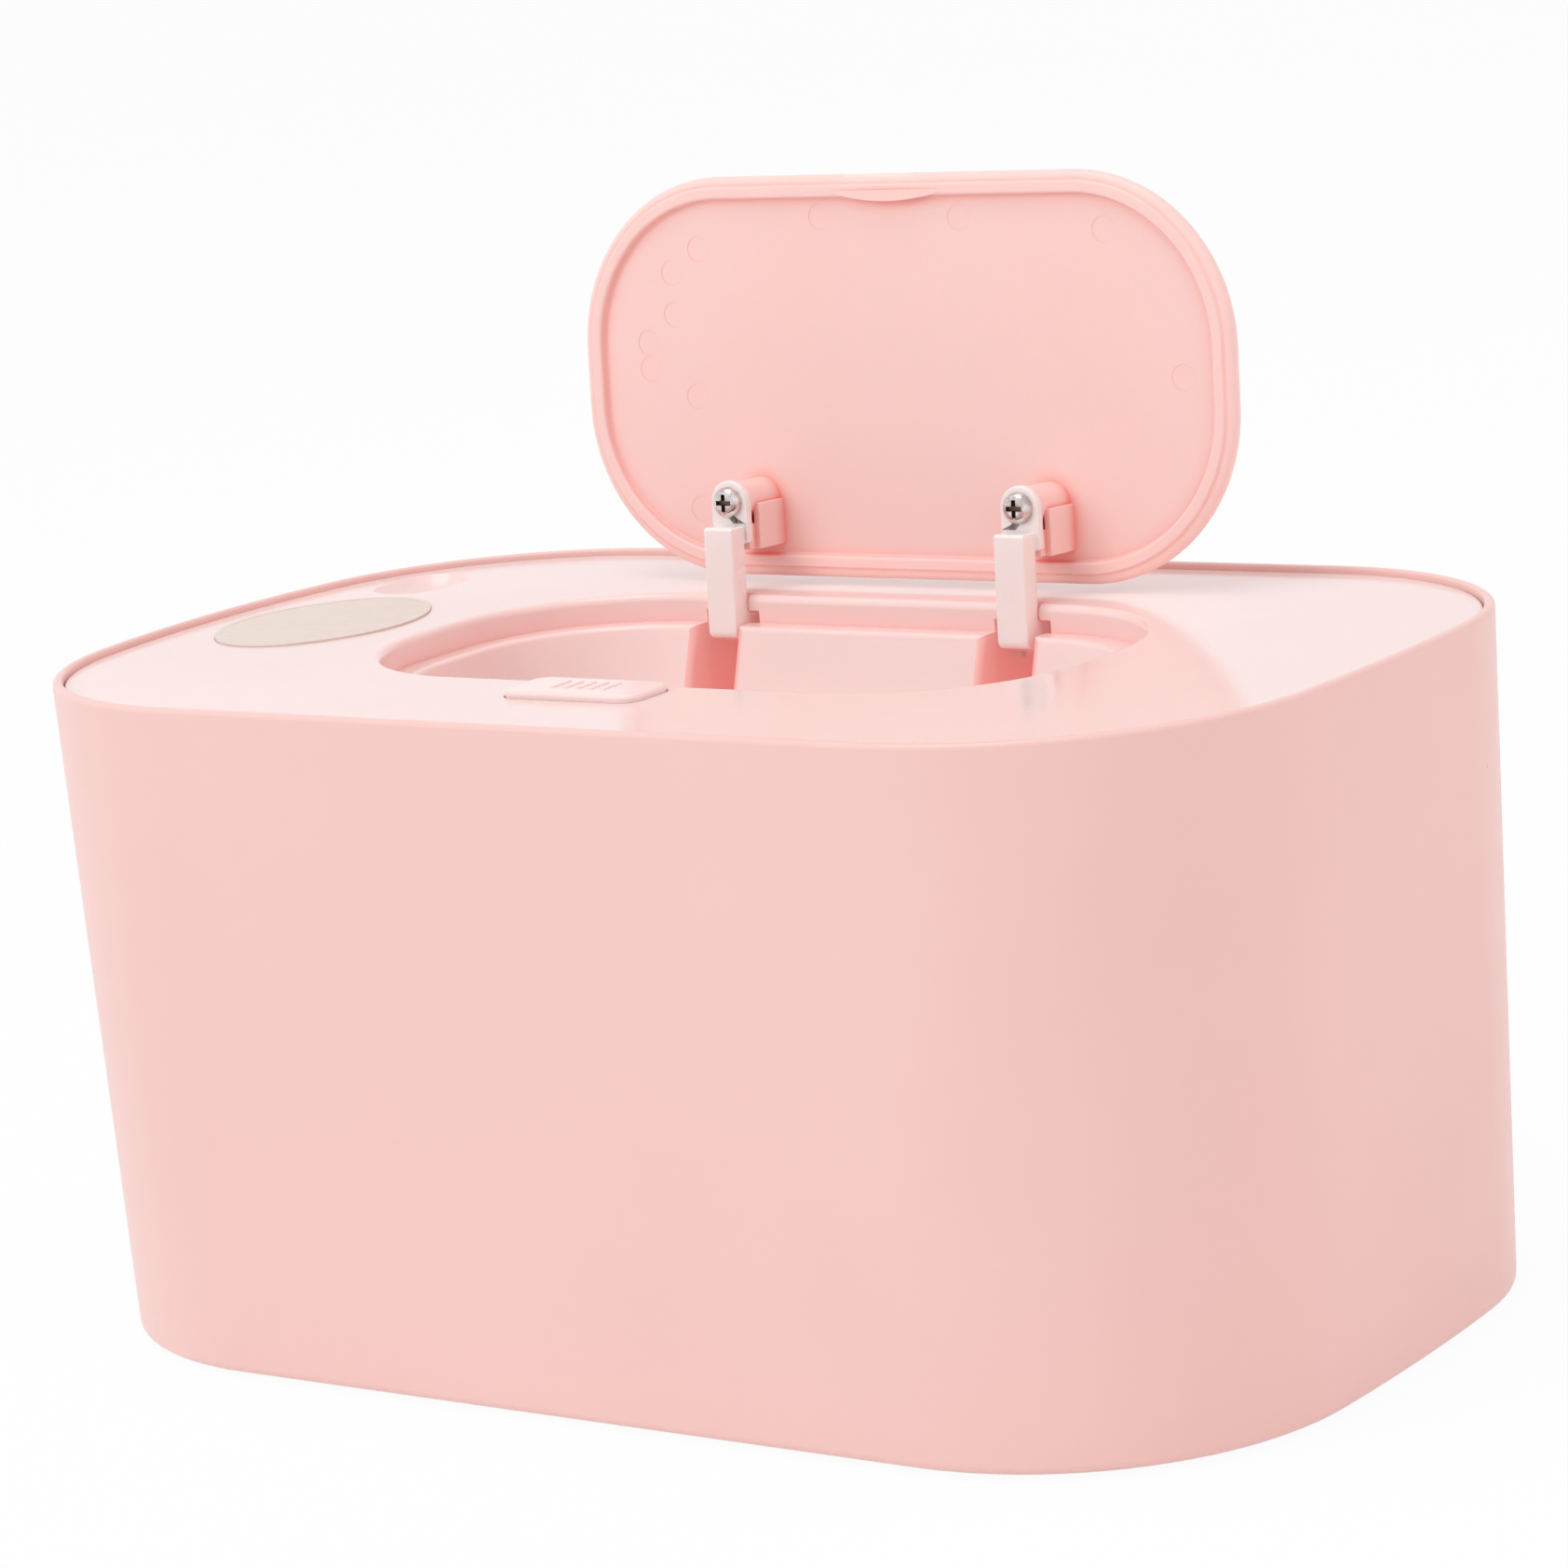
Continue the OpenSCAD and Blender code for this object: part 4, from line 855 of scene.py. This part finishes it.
def plastic(name, light, dark, rough=(0.3, 0.36), grain=0.05, pitch=2200, specks=False, painted_crease_shade=None,
            reach=0.004, **sockets):
    """Two near shades of moulded plastic, uneven gloss, a fine mould grain and any painted shade in
    creases.
    """
    f = Finish(name)
    colour = f.mix(f.spread(f.noise(22), 0, 1), light, dark)
    if painted_crease_shade:
        # Painted shade: where the piece's own faces close in, the colour turns towards the crease colour.
        near = f.node("ShaderNodeAmbientOcclusion", Distance=reach)
        near.samples, near.only_local = 6, True
        colour = f.mix(f.spread(near.outputs["AO"], 1, 0, 0.25, 0.95), colour, painted_crease_shade)
    if specks:
        cells = f.cells(95)
        both = f.tree.nodes.new("ShaderNodeMath")
        both.operation = "MULTIPLY"
        f.link(f.spread(cells.outputs["Distance"], 1, 0, 0.012, 0.03), both.inputs[0])
        f.link(f.spread(cells.outputs["Color"], 0, 1, 0.80, 0.82), both.inputs[1])
        colour = f.mix(both.outputs[0], colour, shade(150, 110, 100))
    f.link(colour, f.shader.inputs["Base Color"])
    f.link(f.spread(f.noise(140, 4), *rough), f.shader.inputs["Roughness"])
    f.bump(f.noise(pitch, 2), grain, 0.00005)
    f.set(**sockets)
    return f.material


# %% Plastics
milk_depth = dict(Subsurface_Radius=(0.003, 0.003, 0.003), Subsurface_Scale=1.0)
soft_pink = dict(Subsurface_Weight=0.2, Subsurface_Radius=(0.006, 0.002, 0.0018), Subsurface_Scale=1.0)
shell_pink = plastic("satin_pink_shell", shade(247, 206, 200), shade(245, 203, 197),
                     rough=(0.30, 0.38), grain=0.10, specks=True)
# The panel's creases and recesses get painted shade, a deeper pink.
panel_pink = plastic("gloss_pink_panel", shade(255, 225, 222), shade(253, 222, 218),
                     rough=(0.10, 0.15), grain=0.03, IOR=1.5, painted_crease_shade=shade(255, 198, 192), **soft_pink)
# Pocket faces: painted shade, a darker pink, and a painted glow for light through the thin walls.
pocket_shade_and_glow = plastic("pocket_painted_shade_and_glow", shade(228, 178, 172), shade(224, 172, 166),
                      rough=(0.3, 0.4), Emission_Color=(1.0, 0.42, 0.39, 1), Emission_Strength=0.22)
# The lid's creases, round its ridge and catch, get painted shade, a deep salmon.
lid_pink = plastic("satin_pink_lid", shade(255, 218, 213), shade(255, 215, 209),
                   rough=(0.29, 0.31), grain=0.06, painted_crease_shade=shade(255, 160, 148), reach=0.0025, **soft_pink)
# The latch slot's faces carry a painted glow that lifts the shade in the slot.
slot_glow_pink = plastic("latch_slot_painted_glow", shade(255, 214, 208), shade(255, 210, 204), rough=(0.3, 0.35),
                    Emission_Color=(1.0, 0.62, 0.58, 1), Emission_Strength=0.35)
button_pale = plastic("gloss_pale_button", shade(254, 231, 228), shade(252, 228, 225),
                      rough=(0.16, 0.22), grain=0.04)
milky = plastic("milky_arm", shade(255, 245, 243), shade(255, 242, 239), rough=(0.20, 0.28),
                grain=0.04, Subsurface_Weight=0.3, Subsurface_Radius=(0.003, 0.002, 0.0018),
                Subsurface_Scale=1.0, IOR=1.46, Coat_Weight=0.6, Coat_Roughness=0.2)
inner_white = plastic("natural_white", shade(238, 235, 231), shade(232, 229, 225),
                      rough=(0.38, 0.46), grain=0.08, Subsurface_Weight=0.15, **milk_depth)
dark_plastic = plastic("dark_fittings", shade(62, 62, 64), shade(52, 52, 54), rough=(0.42, 0.5),
                       grain=0.15)
rubber_grey = plastic("grey_rubber", shade(141, 139, 137), shade(130, 128, 126), rough=(0.7, 0.8),
                      grain=0.3, pitch=3500)
silicone_white = plastic("white_silicone", shade(240, 238, 235), shade(234, 231, 228),
                         rough=(0.5, 0.58), grain=0.1, Subsurface_Weight=0.3, **milk_depth)
lead_red = plastic("red_lead_sleeve", shade(201, 75, 65), shade(188, 66, 58), rough=(0.4, 0.48),
                   grain=0.08)
film_amber = plastic("amber_film", shade(190, 122, 56), shade(172, 104, 44), rough=(0.22, 0.3),
                     grain=0.05)
print("plastics:", len(bpy.data.materials), "materials so far")

# %% [markdown]
# Metals get their look from what they reflect, so colour matters less than the fine lines left
# by rolling, which are a noise that is stretched along one direction.

# %% Metals, foam and board
def metal(name, light, dark, rough, stretch, metallic=1.0, lines=0.12):
    f = Finish(name)
    f.set(Metallic=metallic)
    drawn = f.noise(900, 3, stretch)
    f.link(f.mix(f.spread(drawn, 0, 1), light, dark), f.shader.inputs["Base Color"])
    f.link(f.spread(f.noise(300, 4), *rough), f.shader.inputs["Roughness"])
    f.bump(drawn, lines, 0.00003)
    return f.material


steel = metal("turned_steel", shade(196, 197, 200), shade(176, 177, 181), (0.22, 0.34), (1, 4, 1))
bright_steel = metal("bright_screw", shade(236, 230, 228), shade(176, 164, 160), (0.14, 0.2), (1, 1, 1))
# The screws' cross recesses get a darker steel: painted shade in the recess.
recess_shade_steel = metal("screw_recess_painted_shade", shade(128, 110, 104), shade(92, 78, 74), (0.4, 0.5), (1, 1, 1))
pearl_plate = metal("pearl_plate", shade(235, 218, 208), shade(230, 213, 203), (0.34, 0.42),
                    (0.5, 1.5, 1), metallic=0.15, lines=0.03)

board = Finish("green_board")
tracks = board.node("ShaderNodeTexBrick", Scale=90, Mortar_Size=0.03, Color1=shade(44, 122, 78),
                    Color2=shade(38, 108, 70), Mortar=shade(70, 146, 98))
board.link(board.place, tracks.inputs["Vector"])
board.link(tracks.outputs["Color"], board.shader.inputs["Base Color"])
board.link(board.spread(board.noise(200), 0.25, 0.4), board.shader.inputs["Roughness"])
board.bump(tracks.outputs["Fac"], 0.2, 0.00003)

foam = Finish("open_cell_foam")
bubbles = foam.cells(1100).outputs["Distance"]
foam.link(foam.mix(foam.spread(bubbles, 0, 1, 0.1, 0.7), shade(206, 203, 199), shade(228, 226, 223)),
          foam.shader.inputs["Base Color"])
foam.link(foam.spread(foam.noise(400), 0.85, 0.95), foam.shader.inputs["Roughness"])
foam.bump(bubbles, 0.7, 0.0004)
print("materials:", len(bpy.data.materials))

# %% [markdown]
# ## Dressing the parts
# New pieces ride on the body that carries them and take the place of their CAD node. The CAD
# nodes that stay get the same care in their finish.

# %% Dress the modelled pieces
def dress(piece, body, node, material):
    """Material is one finish, or a finish for each mark that the tools left on the piece."""
    if isinstance(material, dict):
        first = next(iter(material.values()))
        for number, mark in enumerate(piece.data.materials[:]):
            piece.data.materials[number] = material[mark.name] if mark else first
    else:
        piece.data.materials.clear()
        piece.data.materials.append(material)
    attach(piece, body)
    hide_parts(node)


dress(shell, "base", "outer_shell", shell_pink)
dress(panel, "top_cover", "top_panel", {"panel_mark": panel_pink, "pocket_mark": pocket_shade_and_glow})
dress(plate, "top_cover", "oval_plate", pearl_plate)
dress(lid, "lid", "flip_lid", {"lid_mark": lid_pink, "slot_mark": slot_glow_pink})
dress(arm, "lid", "right_hinge_arm", milky)
dress(left_arm, "lid", "left_hinge_arm", milky)
dress(screws, "lid", "hinge_screws", {"head_mark": bright_steel, "recess_mark": recess_shade_steel})
dress(cap, "button", "push_button", button_pale)

dress(pad, "base", "insulation_pad", foam.material)
dress(coils, "top_cover", "button_springs", steel)
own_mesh(coils)

# %% Finish the CAD nodes that stay
finishes = {
    "base_plate": shell_pink, "rubber_feet": rubber_grey, "base_screws": steel,
    "wipe_tank": inner_white, "tank_gasket": silicone_white, "heater_film": film_amber,
    "temperature_sensor": dark_plastic, "thermal_fuse": pearl_plate,
    "control_board": board.material, "board_screws": steel, "power_socket": dark_plastic,
    "heater_leads": lead_red, "hinge_pins": steel, "hinge_springs": steel,
    "latch_bracket": inner_white, "bracket_screws": steel, "latch_bolt": inner_white}
for name, material in finishes.items():
    for holder in nodes[name].material_slots:
        holder.material = material
print("CAD nodes with a new finish:", len(finishes))

# %% [markdown]
# ## Camera
# The camera was worked out from the body's edges in the photograph: a long lens a little above
# the table, turned 35 degrees and rolled by about 5.

# %% Camera
yaw, pitch, roll = (math.radians(a) for a in (-34.965, 11.756, -4.886))
forward = Vector((math.sin(yaw) * math.cos(pitch), math.cos(yaw) * math.cos(pitch), -math.sin(pitch)))
right = Vector((math.cos(yaw), -math.sin(yaw), 0))
up = right.cross(forward)
tilted_right = right * math.cos(roll) + up * math.sin(roll)
tilted_up = up * math.cos(roll) - right * math.sin(roll)
eye = Matrix((tilted_right, tilted_up, -forward)).transposed().to_4x4()
eye.translation = mm(434.69, -616.62, 235.68)
lens = bpy.data.cameras.new("camera")
lens.sensor_width, lens.lens = 36.0, 120.22
lens.clip_start, lens.clip_end = 0.05, 60.0
camera = bpy.data.objects.new("camera", lens)
camera.matrix_world = eye
scene = bpy.context.scene
scene.collection.objects.link(camera)
scene.camera = camera
print("camera at", [round(v, 3) for v in camera.location], "m")

# %% [markdown]
# ## Light and surroundings
# The photograph has a white ground and soft light from the front left. Camera, glossy and
# transmitted rays see white; the light that falls on the object comes from a dim even sky and
# four large soft lamps, at a level where a colour renders about as it was written.

# %% Sky and lamps
sky_light, sky_seen = 0.57, 1.0
scene.view_settings.view_transform = "Standard"
sky = bpy.data.worlds.new("studio")
scene.world = sky
sky.use_nodes = True
tree = sky.node_tree
level = tree.nodes.new("ShaderNodeMapRange")
level.inputs["To Min"].default_value = sky_light
level.inputs["To Max"].default_value = sky_seen
tree.links.new(any_ray(tree, "Is Camera Ray", "Is Glossy Ray", "Is Transmission Ray"),
               level.inputs["Value"])
tree.links.new(level.outputs["Result"], tree.nodes["Background"].inputs["Strength"])
tree.nodes["Background"].inputs["Color"].default_value = (1, 1, 1, 1)


def lamp(name, place, target, size, power, tint=(1, 1, 1), mirrored_too=False):
    """A round soft lamp. The glossy panel mirrors it only if mirrored_too is set."""
    light = bpy.data.lights.new(name, "AREA")
    light.color = tint
    light.shape, light.size, light.energy = "DISK", size, power
    holder = bpy.data.objects.new(name, light)
    holder.location = place
    holder.rotation_euler = (Vector(target) - Vector(place)).to_track_quat("-Z", "Y").to_euler()
    holder.visible_glossy = mirrored_too
    scene.collection.objects.link(holder)


lamp("key_lamp", (-0.9, -1.5, 1.1), (0, 0, 0.05), 1.1, 10.5)
lamp("top_lamp", (-0.2, -0.3, 1.6), (0, 0, 0.1), 1.0, 6, mirrored_too=True)
lamp("fill_lamp", (1.6, -0.3, 0.7), (0, 0, 0.05), 1.2, 4.5, (1, 0.66, 0.63))
lamp("back_lamp", (1.1, 1.3, 1.3), (0, 0, 0.1), 1.0, 4, (1, 0.9, 0.88))

# %% Floor
floor_size, backdrop, glow_share = 16, (0, 2, 6), 0.95
nothing_selected()
bpy.ops.mesh.primitive_plane_add(size=floor_size, location=(0, 0, 0))
floor = bpy.context.object
floor.name = "studio_floor"
edit(floor)
pick(floor, lambda e: min(v.co.y for v in e.verts) > floor_size / 2 - 0.1, "edges")
bpy.ops.mesh.extrude_region_move(TRANSFORM_OT_translate={"value": backdrop})
nothing_selected()

paper = Finish("white_paper")
paper.link(paper.mix(paper.spread(paper.noise(3), 0, 1), shade(250, 250, 250), shade(247, 247, 247)),
           paper.shader.inputs["Base Color"])
paper.set(Roughness=0.9, Specular_IOR_Level=0.1)
glow = paper.node("ShaderNodeEmission", Color=(1, 1, 1, 1))
blend = paper.node("ShaderNodeMixShader")
seen = any_ray(paper.tree, "Is Camera Ray", "Is Glossy Ray")
paper.link(paper.spread(seen, 0, glow_share, 0, 1), blend.inputs["Fac"])
paper.link(paper.shader.outputs["BSDF"], blend.inputs[1])
paper.link(glow.outputs["Emission"], blend.inputs[2])
paper.link(blend.outputs["Shader"], paper.tree.nodes["Material Output"].inputs["Surface"])
floor.data.materials.append(paper.material)
print("floor:", len(floor.data.polygons), "faces")
